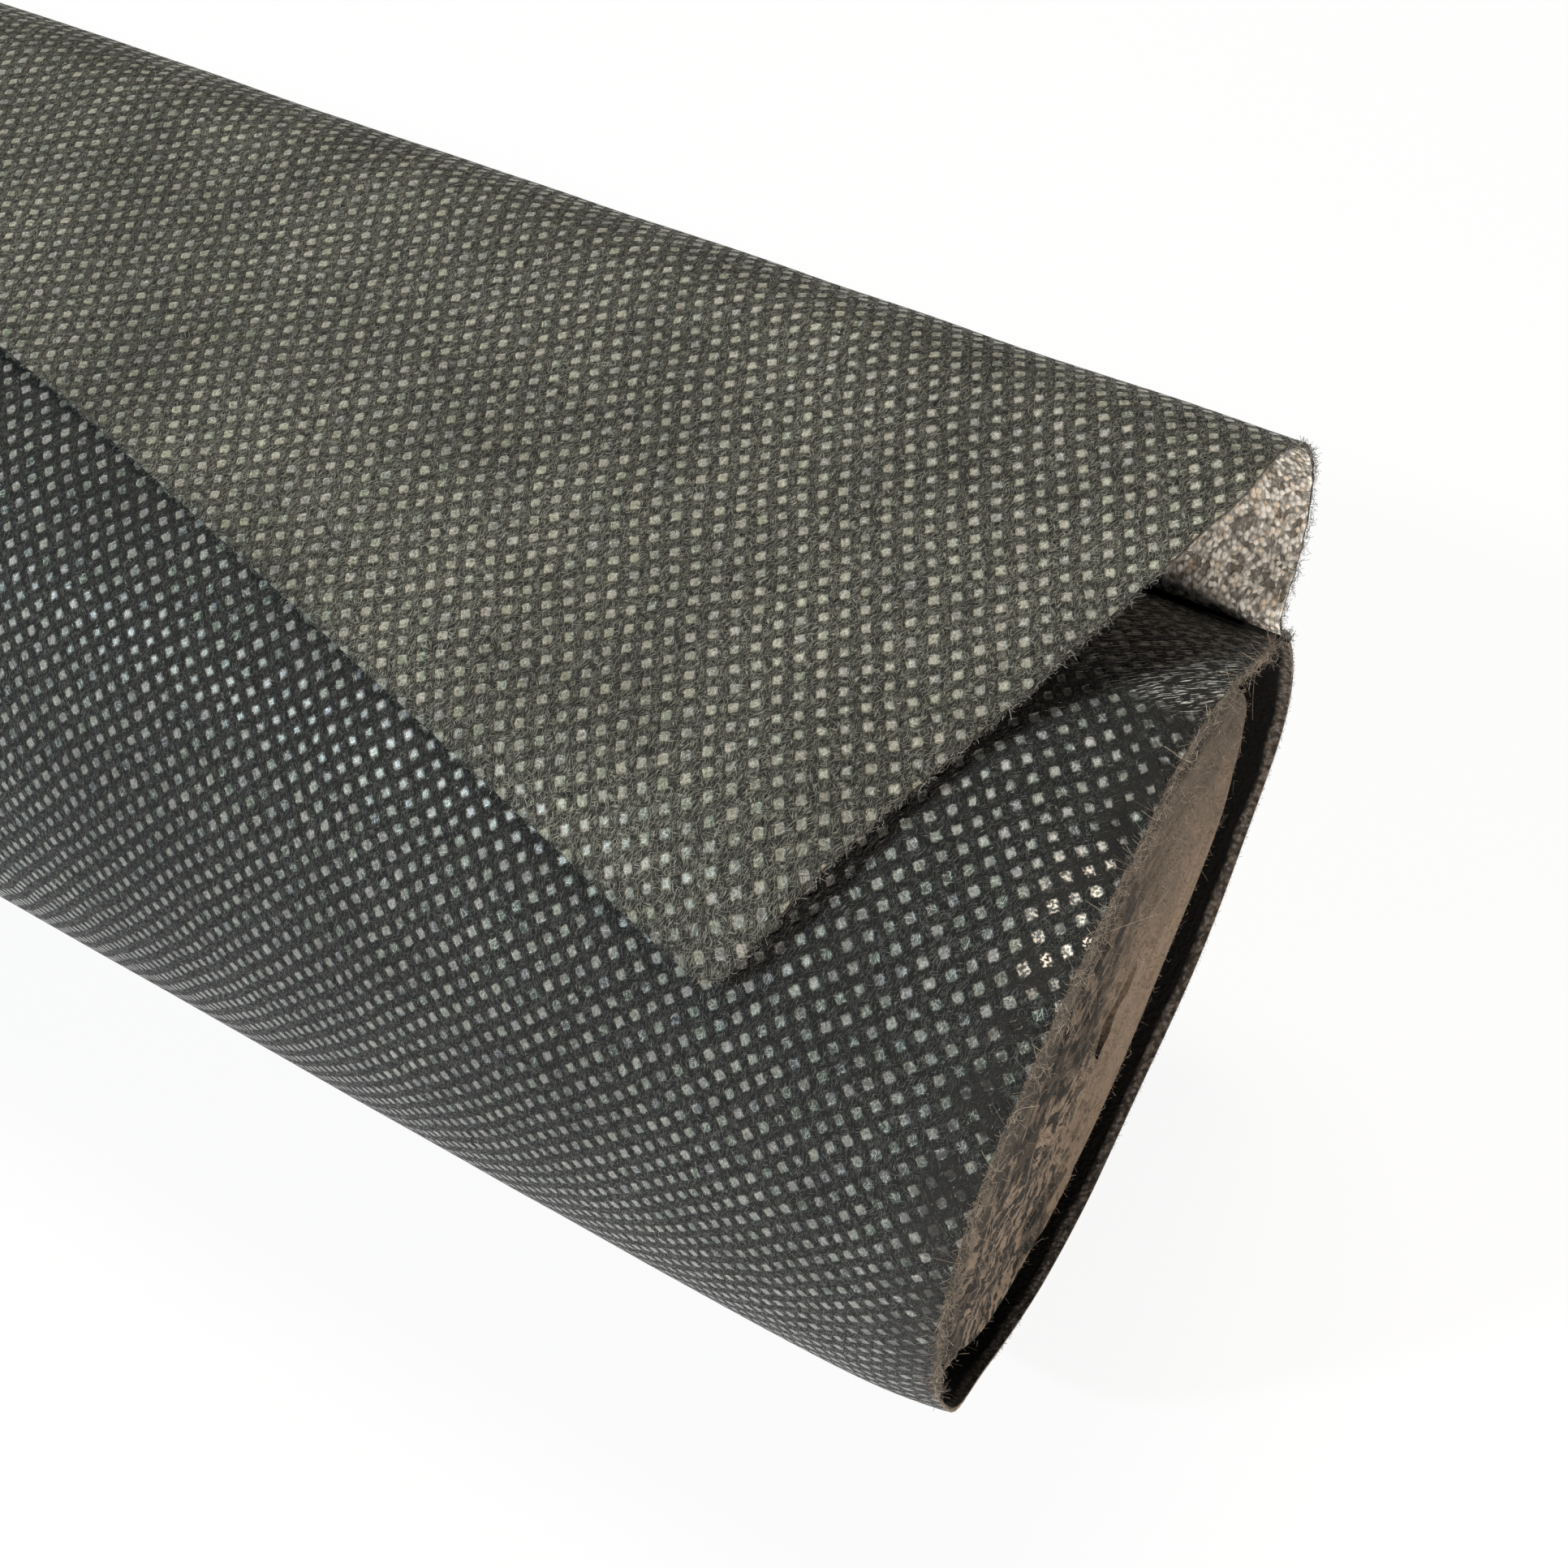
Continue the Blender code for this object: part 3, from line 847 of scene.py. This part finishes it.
def place_on_wrap(x, distance):
    """A point of the loose wrap, at a signed distance from the hinge line."""
    point, out = flap_path(-distance) if distance < 0 else crest_path(distance)
    held = smooth((CREST_RUN - distance) / 0.006)
    lift = CORNER_LIFT * bell(distance, LIFT_AT, 0.012) * bell(RIM_X - x, FLAP_CORNER_SETBACK, 0.014)
    point = point + out * (undulate(RIM_X - x, distance, WRAP_SWELL) + lift) * held
    return Vector((x, AXIS_Y + point.x, AXIS_Z + point.y))


def place_on_sheet(x, distance):
    """The same point on the flat sheet, which lies askew on the roll: the UV map's coordinates."""
    behind = RIM_X - x
    over = behind - LEAN_REACH
    eased = -(behind - (over + math.hypot(over, LEAN_EASE)) / 2)
    near = min(distance, 0.008)
    across = 1.02 * (x - RIM_X) + (3.2 * eased - LEAN_ACROSS) * distance - LEAN_SPREAD * near**2
    down = 1.02 * distance + (LEAN_ALONG - 0.29 * eased) * eased + 1.6 * near**2 - 0.72 * eased * near
    return across, down


def mesh_from(bm, name):
    mesh = bpy.data.meshes.new(name)
    bm.to_mesh(mesh)
    bm.free()
    return mesh


def loose_wrap_mesh():
    rows = []
    for row in range(-FLAP_ROWS, CREST_ROWS + 1):
        if row < 0:
            share = -row / FLAP_ROWS
            rounding = CORNER_ROUNDING * max((share - ROUNDED_FROM) / (1 - ROUNDED_FROM), 0.0) ** 2
            near_x = RIM_X - CREST_SETBACK - (FLAP_CORNER_SETBACK - CREST_SETBACK) * share - rounding
            line = [(x, -share * flap_width(x)) for x in stations(near_x)]
        else:
            distance = (CREST_RUN + FOOT_TUCK) * row / CREST_ROWS
            near_x = RIM_X - CREST_SETBACK * (1 - row / CREST_ROWS)
            line = [(x, distance) for x in stations(near_x)]
        wave = sum(size * noise.noise(Vector((row * step, *start)))
                   for size, step, *start in SELVEDGE_WAVES)
        rows.append([(x + wave * (1 - smooth((RIM_X - x) / 0.04)), distance) for x, distance in line])
    bm = bmesh.new()
    uv = bm.loops.layers.uv.new("UVMap")
    grid = [[bm.verts.new(place_on_wrap(*spot)) for spot in line] for line in rows]
    for r in range(len(rows) - 1):
        for s in range(len(rows[0]) - 1):
            corners = [(r, s), (r, s + 1), (r + 1, s + 1), (r + 1, s)]
            face = bm.faces.new([grid[i][j] for i, j in corners])
            for loop, (i, j) in zip(face.loops, corners):
                loop[uv].uv = place_on_sheet(*rows[i][j])
    return mesh_from(bm, "loose wrap")


wrap_mesh = loose_wrap_mesh()
face_outwards(wrap_mesh)
loose = thicken("loose_wrap_of_fabric", wrap_mesh, (FACE, BACK, EDGE))

# %% [markdown]
# ## The tight inner turns
# Inside the outer turns the sheet is wound too tight to see between, so a solid with ridged ends
# stands for it. Each end is a fan of rings from the eye out to the last tight turn. Every turn stands
# out by its own amount, slowly changing round the roll, which is what a hand-wound end looks like.

# %% Build the core with its ridged ends
EYE_LENGTH = 0.009
EYE_WIDTH = 0.006
EYE_TILT = 25.0
EYE_OFFSET = 0.006
EYE_AT = -35.0
CORE_GAP = 0.0003
RINGS = 84
SPOKES = 168
RIDGE = 0.00022
BUNCH = 0.0005
SIDE_STATIONS = (0.013, 0.02, 0.04, 0.08, 0.15, 0.25, 0.4, 0.6)


def eye_edge(angle):
    """The eye's edge, at an angle about its own middle."""
    local = math.radians(angle - EYE_TILT)
    x, y = EYE_LENGTH / 2 * math.cos(local), EYE_WIDTH / 2 * math.sin(local)
    tilt = math.radians(EYE_TILT)
    return polar(EYE_OFFSET, EYE_AT) + Vector((x * math.cos(tilt) - y * math.sin(tilt),
                                               x * math.sin(tilt) + y * math.cos(tilt)))


def core_edge(angle):
    """The outside of the tight turns, just inside the innermost of the outer ones."""
    swept = OUTER_TURNS * 360.0 + (START_AT - angle) % 360.0
    point = polar(turn_radius(swept) + SHEET_THICKNESS / 2 - CORE_GAP / 2, angle)
    point.y = max(point.y, -LOWEST + TURN_PITCH * OUTER_TURNS)
    return point


def standing_out(ring, angle):
    """How far one turn stands out of the end at an angle."""
    round_place = polar(1, angle)
    own = noise.noise(Vector((ring * 1.7, round_place.x * 1.5, round_place.y * 1.5)))
    bunch = noise.noise(Vector((ring * 0.11, round_place.x * 0.9, round_place.y * 0.9 + 7.0)))
    return RIDGE * own * (1 if ring % 2 else -1) + BUNCH * bunch


def core_point(angle, share, behind):
    """A point of the core's end or side, from its share of the way out and its place along the roll."""
    point = eye_edge(angle).lerp(core_edge(angle), share)
    inwards = pressed_in(angle % 360.0, behind) * share**3
    lowered = smooth((point.y + LOWEST) / 0.004)
    return point - point.normalized() * inwards * lowered


def join_loops(bm, first, second):
    for spoke in range(SPOKES):
        after = (spoke + 1) % SPOKES
        bm.faces.new((first[spoke], first[after], second[after], second[spoke]))


def core_mesh():
    bm = bmesh.new()
    ends = []
    for end, side in ((RIM_X, 1), (RIM_X - SHEET_WIDTH, -1)):
        loops = []
        for ring in range(RINGS + 1):
            loop = []
            for spoke in range(SPOKES):
                angle = 360.0 * spoke / SPOKES
                flat = core_point(angle, ring / RINGS, 0.5)
                fall = recess(flat.x, flat.y) + (hollow(angle, flat.length) if side > 0 else 0.0)
                x = end - fall + standing_out(ring, angle) * side
                point = core_point(angle, ring / RINGS, RIM_X - x)
                loop.append(bm.verts.new((x, AXIS_Y + point.x, AXIS_Z + point.y)))
            loops.append(loop)
        ends.append(loops)
        for inner, wider in zip(loops, loops[1:]):
            join_loops(bm, inner, wider)
    for share, near, far in ((0.0, ends[0][0], ends[1][0]), (1.0, ends[0][-1], ends[1][-1])):
        before = near
        for behind in SIDE_STATIONS:
            here = []
            for spoke in range(SPOKES):
                point = core_point(360.0 * spoke / SPOKES, share, behind)
                here.append(bm.verts.new((RIM_X - behind, AXIS_Y + point.x, AXIS_Z + point.y)))
            join_loops(bm, before, here)
            before = here
        join_loops(bm, before, far)
    bmesh.ops.recalc_face_normals(bm, faces=bm.faces)
    mesh = mesh_from(bm, "core")
    mesh.shade_smooth()
    mesh.set_sharp_from_angle(angle=math.radians(60))
    return mesh


# %% [markdown]
# The ends of the tight turns are a spiral of cut edges. Its material winds a groove with the same
# spiral, from the distance and the angle about the axis, and breaks it up with noise; the groove is
# painted a little darker as shade. The front of the end is greyer, and spotted with painted shade where
# the outer turns are loose, with a painted shadow in the groove behind the outermost tight turns. The
# rest is a smooth, warm brown, partly painted warm light on the black cut threads, and it is painted
# paler towards the bottom as light from the floor below.

# %% Ends of the tight turns
WINDING_PITCH = 0.00033
END_DARK = (0.007, 0.006, 0.005, 1)
# Partly painted warm light: the end is painted a pale warm brown, paler than the black fabric.
END_PALE = (0.175, 0.134, 0.100, 1)
END_GREY = (0.070, 0.062, 0.050, 1)
END_SPECKLES = ((2600.0, 3.0), (110.0, 4.0), (640.0, 3.0))


def wound_ends():
    material, tree, shader = new_material("ends of the tight turns", 0.9, 0.12, 0.04)
    place = add(tree, "ShaderNodeTexCoord").outputs["Object"]
    axes = parts(vector("SUBTRACT", place, (0.0, AXIS_Y, AXIS_Z)))
    radius = vector("LENGTH", joined(0.0, axes[1], axes[2]))
    turn = calc("DIVIDE", calc("ARCTAN2", axes[2], axes[1]), math.tau)
    wound = minus(calc("DIVIDE", radius, WINDING_PITCH), turn)
    wound = plus(wound, times(speckle(place, 130.0, 2.0)[0], 3.0))
    groove = calc("ABSOLUTE", minus(calc("FRACT", wound), 0.5))
    ridge = ramp(groove, 0.5, 0.12)
    fur, patch, blots = [speckle(place, scale, detail)[0] for scale, detail in END_SPECKLES]
    # Painted shade: the spiral groove is a little darker.
    lit = times(ramp(fur, 0.3, 0.65, 0.55, 1.0), ramp(ridge, 0.0, 1.0, 0.93, 1.0))
    forward = minus(0.0, axes[1])
    # Painted shade: spots on the front half of the end are darkened.
    for reach, spots in (((-0.010, 0.008, 0.1, 0.95), ramp(blots, 0.57, 0.45)),
                         ((-0.008, 0.008, 0.2, 0.8), ramp(patch, 0.54, 0.40))):
        shade = times(ramp(forward, *reach), spots)
        lit = times(lit, minus(1.0, shade))
    # Painted light: paler towards the bottom, as if lit from the floor below.
    lit = times(lit, ramp(axes[2], -0.030, 0.022, 1.8, 0.60))
    warm = blend_colours(lit, END_DARK, END_PALE)
    front = minus(axes[2], axes[1])
    greyer = blend_colours(ramp(front, 0.024, 0.042, 0.0, 0.7), warm, END_GREY)
    # Painted shadow: a dark ring in the groove behind the outermost tight turns, on the front.
    outermost = ramp(plus(radius, times(patch, 0.006)), 0.0292, 0.0308)
    dark_share = times(times(outermost, ramp(front, 0.0, 0.02)), 0.85)
    colour = blend_colours(dark_share, greyer, END_DARK)
    height = plus(times(ridge, 0.3), plus(fur, times(blots, 2.0)))
    finish_shader(shader, colour, height, 0.8)
    return material


core = put_in_scene("tight_turns_of_fabric", core_mesh())
core.data.materials.append(wound_ends())
print("core:", len(core.data.polygons), "faces")

# %% [markdown]
# ## Loose fibres
# Wherever the sheet was cut, the ends of its threads stand out as fine fuzz, and the end of the roll is
# covered with it. Thousands of fibres are a job for a geometry tree: it spaces points along an edge or
# over a face, puts a thin bent fibre on each, and gives every fibre its own direction, length and tone.
# A fibre is only a few faces long, because there are so many.

# %% Trees that grow fibres on an edge or a face
FIBRE_RADIUS = 0.000016
FIBRE_INPUTS = [("Spacing", "Float", 0.0002), ("Length", "Float", 0.001),
                ("Radius", "Float", FIBRE_RADIUS), ("Spread", "Float", 1.0), ("Seed", "Int", 1),
                ("Bends", "Int", 4), ("Material", "Material", None)]
SMALLEST_FIBRE = 0.25
LARGEST_FIBRE = 1.2


def grow(tree, given, points, rotation, output):
    """Puts a bent fibre on each point and turns it its own way."""
    shape = {"Resolution": given["Bends"], "Middle": (0.75, -0.15, 0.45), "End": (0.0, 0.45, 0.6)}
    bent = add(tree, "GeometryNodeCurveQuadraticBezier", shape).outputs[0]
    thin = calc("DIVIDE", given["Radius"], given["Length"])
    ring = add(tree, "GeometryNodeCurvePrimitiveCircle", {"Resolution": 3, "Radius": thin}).outputs[0]
    tube = {"Curve": bent, "Profile Curve": ring, "Fill Caps": True}
    fibre = add(tree, "GeometryNodeCurveToMesh", tube).outputs[0]
    wide = joined(given["Spread"], given["Spread"], 3.14)
    back = vector("MULTIPLY", wide, (-1.0, -1.0, -1.0))
    sway = add(tree, "FunctionNodeRandomValue", {"Min": back, "Max": wide, "Seed": given["Seed"]},
               data_type="FLOAT_VECTOR").outputs[0]
    turn = add(tree, "FunctionNodeEulerToRotation", {0: sway}).outputs[0]
    turned = add(tree, "FunctionNodeRotateRotation", {"Rotation": rotation, "Rotate By": turn},
                 rotation_space="LOCAL").outputs[0]
    own = {2: SMALLEST_FIBRE, 3: LARGEST_FIBRE, "ID": add(tree, "GeometryNodeInputIndex").outputs[0],
           "Seed": plus(given["Seed"], 11.0)}
    size = add(tree, "FunctionNodeRandomValue", own, data_type="FLOAT").outputs[1]
    long = times(size, given["Length"])
    placed = add(tree, "GeometryNodeInstanceOnPoints",
                 {"Points": points, "Instance": fibre, "Rotation": turned, "Scale": long}).outputs[0]
    tone = add(tree, "FunctionNodeRandomValue", {2: 0.0, 3: 1.0, "Seed": 5}, data_type="FLOAT").outputs[1]
    toned = add(tree, "GeometryNodeStoreNamedAttribute",
                {"Geometry": placed, "Name": "tone", "Value": tone},
                data_type="FLOAT", domain="INSTANCE").outputs[0]
    end_tree(tree, toned, given["Material"], output)


def edge_fibres_tree():
    """Fibres along an edge. Each point of the edge says in 'out' which way the sheet ends there."""
    tree, given, output = tree_with_inputs("edge fibres", FIBRE_INPUTS)
    curve = add(tree, "GeometryNodeMeshToCurve", {0: given["Geometry"]}).outputs[0]
    spaced = {"Curve": curve, "Length": given["Spacing"]}
    points = add(tree, "GeometryNodeCurveToPoints", spaced, mode="LENGTH")
    out = add(tree, "GeometryNodeInputNamedAttribute", {"Name": "out"}, data_type="FLOAT_VECTOR").outputs[0]
    rotation = add(tree, "FunctionNodeAlignRotationToVector", {"Vector": out}, axis="Z").outputs[0]
    grow(tree, given, points.outputs["Points"], rotation, output)
    return tree


def face_fibres_tree():
    """Fibres all over a face, spaced at random."""
    tree, given, output = tree_with_inputs("face fibres", FIBRE_INPUTS)
    density = calc("DIVIDE", 1.0, times(given["Spacing"], given["Spacing"]))
    points = add(tree, "GeometryNodeDistributePointsOnFaces",
                 {"Mesh": given["Geometry"], "Density": density, "Seed": given["Seed"]})
    grow(tree, given, points.outputs["Points"], points.outputs["Rotation"], output)
    return tree


# %% [markdown]
# The tree wrote a random tone on every fibre, and the material reads it, so one material serves them
# all: most fibres are dark, and a few catch the light. Fine noise varies the tone along each fibre.

# %% Fibre material


def fibre_material(name, dark, pale):
    material, tree, shader = new_material(name, 0.45, 0.5)
    tone = add(tree, "ShaderNodeAttribute", attribute_name="tone").outputs["Fac"]
    place = add(tree, "ShaderNodeTexCoord").outputs["Object"]
    along_it = ramp(speckle(place, 2400.0, 1.0)[0], 0.3, 0.7, 0.5, 1.0)
    share = times(calc("POWER", tone, 1.1), along_it)
    tree.links.new(blend_colours(share, dark, pale), shader.inputs["Base Color"])
    return material


WARM_FIBRE = fibre_material("warm fibre", (0.030, 0.025, 0.020, 1), (0.430, 0.345, 0.265, 1))
GREY_FIBRE = fibre_material("grey fibre", (0.020, 0.020, 0.019, 1), (0.480, 0.470, 0.430, 1))

# %% [markdown]
# The edges to grow on are read off the finished meshes: the near selvedge of the outer turns where it
# isn't hidden in the hollow, the near selvedge of the crest and the flap, and the flap's cut edge.

# %% Lines and faces that the fibres grow on
FUZZ_STRETCH = 0.14
HIDDEN_BEHIND = 0.004
BOTTOM = (200.0, 240.0)
BARE_ABOVE_FLOOR = 0.001
BARE_ROWS = 8


def guide_lines(name, lines):
    """A mesh of lines. Each line is a list of points with the direction in which the sheet ends."""
    points, outs, edges = [], [], []
    for line in lines:
        start = len(points)
        points += [point for point, out in line]
        outs += [out for point, out in line]
        edges += [(start + i, start + i + 1) for i in range(len(line) - 1)]
    mesh = bpy.data.meshes.new(name)
    mesh.from_pydata(points, edges, [])
    attribute = mesh.attributes.new("out", "FLOAT_VECTOR", "POINT")
    attribute.data.foreach_set("vector", [value for out in outs for value in out])
    return mesh


def rim_lines(front, steps):
    """The near selvedge of the outer turns where it can be seen, on the front or on the far side."""
    lines, line = [], []
    for index in range(steps):
        point = turns_mesh.vertices[index].co
        angle = math.degrees(math.atan2(point.z - AXIS_Z, point.y - AXIS_Y))
        bottom = BOTTOM[0] < angle % 360.0 < BOTTOM[1] or point.z < BARE_ABOVE_FLOOR
        seen = RIM_X - point.x < HIDDEN_BEHIND and not bottom
        if seen and (far_side(angle) < 0.5) == front:
            line.append((point.copy(), Vector((1, 0, 0))))
        elif line:
            lines.append(line)
            line = []
    return lines + [line] if line else lines


def wrap_line(rows, columns, inwards):
    """A line on the loose wrap, with the direction away from the neighbouring line inside it."""
    wide = NEAR_STATIONS + FAR_STATIONS + 1
    line = []
    for row in rows:
        for column in columns:
            here = wrap_mesh.vertices[row * wide + column].co
            inside = wrap_mesh.vertices[(row + inwards[0]) * wide + column + inwards[1]].co
            if here.x > RIM_X - FUZZ_STRETCH:
                line.append((here.copy(), (here - inside).normalized()))
    return line


def core_end_mesh():
    """The near end face of the core, as far out as it can be seen."""
    bm = bmesh.new()
    bm.from_mesh(core.data)
    hidden = [face for face in bm.faces if face.calc_center_median().x < RIM_X - HIDDEN_BEHIND
              or face.normal.x < 0.2]
    bmesh.ops.delete(bm, geom=hidden, context="FACES")
    return mesh_from(bm, "end face")


# %% [markdown]
# Each edge gets its own spacing and length of fibre. The rim at the front has three kinds: a dense
# short fuzz, sparser fibres of a millimetre or two, and now and then one that stands out by 3 mm. No
# fibre grows close to the hinge line, where the sheet bends, or down where the roll rests.

# %% Grow the fibres


def fibres(name, jobs):
    """Runs the trees for all the jobs of one body and joins what they make into one piece."""
    bm = bmesh.new()
    materials = []
    for tree, mesh, values in jobs:
        made = run_tree(name, tree, values, mesh)
        if values["Material"] not in materials:
            materials.append(values["Material"])
        for polygon in made.polygons:
            polygon.material_index = materials.index(values["Material"])
        bm.from_mesh(made)
    mesh = mesh_from(bm, name)
    for material in materials:
        mesh.materials.append(material)
    print(name, len(mesh.polygons), "faces")
    return put_in_scene(name, mesh)


def fibre_values(spacing, length, spread, seed, material, bends=4):
    return {"Spacing": spacing, "Length": length, "Spread": spread, "Seed": seed, "Material": material,
            "Bends": bends}


front_rim = guide_lines("front rim", rim_lines(True, STEPS_PER_TURN + 1))
far_rim = guide_lines("far rim", rim_lines(False, STEPS_PER_TURN + 1))
inner_rims = guide_lines("inner rims", rim_lines(True, OUTER_TURNS * STEPS_PER_TURN + 1))
crest_rows = range(FLAP_ROWS + BARE_ROWS, FLAP_ROWS + CREST_ROWS)
flap_rows = range(FLAP_ROWS - BARE_ROWS + 1)
crest_rim = guide_lines("crest rim", [wrap_line(crest_rows, [0], (0, 1))])
flap_rim = guide_lines("flap rim", [wrap_line(flap_rows, [0], (0, 1))])
cut_edge = guide_lines("cut edge", [wrap_line([0], range(NEAR_STATIONS + FAR_STATIONS + 1), (1, 0))])
on_edges, on_faces = edge_fibres_tree(), face_fibres_tree()


roll_fibres = fibres("fibres_on_the_roll", [
    (on_edges, front_rim, fibre_values(0.00005, 0.0006, 1.3, 3, WARM_FIBRE)),
    (on_edges, front_rim.copy(), fibre_values(0.00010, 0.0015, 1.1, 14, WARM_FIBRE)),
    (on_edges, front_rim.copy(), fibre_values(0.0060, 0.0034, 1.3, 4, WARM_FIBRE, 8)),
    (on_edges, inner_rims, fibre_values(0.00030, 0.0009, 1.2, 10, WARM_FIBRE)),
    (on_edges, far_rim, fibre_values(0.00022, 0.00035, 1.2, 9, GREY_FIBRE)),
    (on_edges, crest_rim, fibre_values(0.00006, 0.0007, 1.3, 5, GREY_FIBRE)),
    (on_faces, core_end_mesh(), fibre_values(0.0012, 0.0009, 1.2, 6, WARM_FIBRE))])
flap_fibres = fibres("fibres_on_the_flap", [
    (on_edges, flap_rim, fibre_values(0.00008, 0.0006, 1.2, 7, GREY_FIBRE)),
    (on_edges, cut_edge, fibre_values(0.00016, 0.0004, 1.1, 8, GREY_FIBRE))])

# %% [markdown]
# ## Riding on the frame
# The outer turns and the core belong to the roll. The loose wrap crosses the joint; its place is only
# baked into its mesh, and it is attached to neither body.


def across_the_hinge(piece):
    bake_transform(piece)


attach(outer, "roll")
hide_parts("outer_turns")
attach(core, "roll")
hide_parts("tight_inner_turns")
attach(roll_fibres, "roll")
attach(flap_fibres, "flap")
across_the_hinge(loose)
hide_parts("loose_crest", "free_flap")

# %% [markdown]
# ## The cloth before it was wound
# The loose wrap isn't a rectangle, because its cut edge is oblique.

# %% [markdown]
# ## Floor, light and camera
# The roll lies on a pale floor in soft studio light: a broad lamp above and behind, a weaker one in
# front, and a warm one on the side of the end face. What the camera sees of the floor, and what glossy
# surfaces mirror of it, glows nearly white, so the roll's reflections of it are painted white; the light
# on the roll stays plain and its shadow stays on the floor.

# %% Floor and surroundings
FLOOR_HALF = 6.0
FLOOR_WHITE_SHARE = 0.91


def pale_floor():
    material, tree, shader = new_material("pale floor", 0.9, 0.5)
    shader.inputs["Base Color"].default_value = (0.8, 0.8, 0.8, 1)
    output = tree.nodes["Material Output"]
    path = add(tree, "ShaderNodeLightPath").outputs
    # Painted reflection: the floor glows white for camera, glossy and transmission rays.
    seen = calc("MAXIMUM", calc("MAXIMUM", path["Is Camera Ray"], path["Is Glossy Ray"]),
                path["Is Transmission Ray"])
    white = add(tree, "ShaderNodeEmission", {"Color": (1, 1, 1, 1), "Strength": 1.0}).outputs[0]
    share = times(seen, FLOOR_WHITE_SHARE)
    mixed = add(tree, "ShaderNodeMixShader", {0: share, 1: shader.outputs[0], 2: white}).outputs[0]
    tree.links.new(mixed, output.inputs["Surface"])
    return material


def make_floor():
    mesh = bpy.data.meshes.new("floor")
    corners = [(-FLOOR_HALF, -FLOOR_HALF), (FLOOR_HALF, -FLOOR_HALF), (FLOOR_HALF, FLOOR_HALF),
               (-FLOOR_HALF, FLOOR_HALF)]
    mesh.from_pydata([(x, y, 0.0) for x, y in corners], [], [(0, 1, 2, 3)])
    mesh.materials.append(pale_floor())
    floor = put_in_scene("floor", mesh)


def set_world():
    world = bpy.data.worlds.new("surroundings")
    bpy.context.scene.world = world
    world.use_nodes = True
    tree = world.node_tree
    path = add(tree, "ShaderNodeLightPath").outputs["Is Camera Ray"]
    light = tree.nodes["Background"]
    light.inputs["Color"].default_value = (0.94, 0.97, 1.0, 1)
    tree.links.new(ramp(path, 0.0, 1.0, 0.08, 1.0), light.inputs["Strength"])


make_floor()
set_world()

# %% [markdown]
# The lamps are discs that shine on the near end: a large one, whose light is soft, and two small ones,
# whose light is sharp enough to make the pressed points glint.

# %% Lamps


def lamp(name, place, target, size, power, colour):
    data = bpy.data.lights.new(name, "AREA")
    data.shape = "DISK"
    data.size = size
    data.energy = power
    data.color = colour
    light = put_in_scene(name, data)
    light.location = place
    light.rotation_euler = (Vector(target) - Vector(place)).to_track_quat("-Z", "Y").to_euler()


near_end = Vector((RIM_X, 0, AXIS_Z))
lamp("overhead", near_end + Vector((-0.4, 0.35, 1.4)), near_end, 0.7, 18.5, (1.0, 0.95, 0.85))
lamp("front", near_end + Vector((-0.80, -1.00, 0.84)), near_end, 0.12, 17, (0.80, 0.95, 1.0))
lamp("end", near_end + Vector((0.26, -0.16, 0.05)), near_end, 0.08, 1.05, (1.0, 0.90, 0.80))

# %% [markdown]
# The camera stands where the photographer's did, worked out from the lattice of bond points and the
# rim: 126 mm above the roll's axis, 86 mm in front of it and 20 mm past the rim, looking down at the
# near end.

# %% Camera
CAMERA_FROM_RIM = Vector((0.0202, -0.0859, 0.1250))
CAMERA_TURN = (41.75, 0.0, 31.13)
camera_data = bpy.data.cameras.new("camera")
camera_data.lens = 42.49
camera_data.sensor_width = 36.0
camera_data.clip_start = 0.01
camera = put_in_scene("camera", camera_data)
camera.location = Vector((RIM_X, AXIS_Y, AXIS_Z)) + CAMERA_FROM_RIM
camera.rotation_euler = [math.radians(angle) for angle in CAMERA_TURN]
bpy.context.scene.camera = camera
bpy.context.scene.view_settings.view_transform = "Standard"
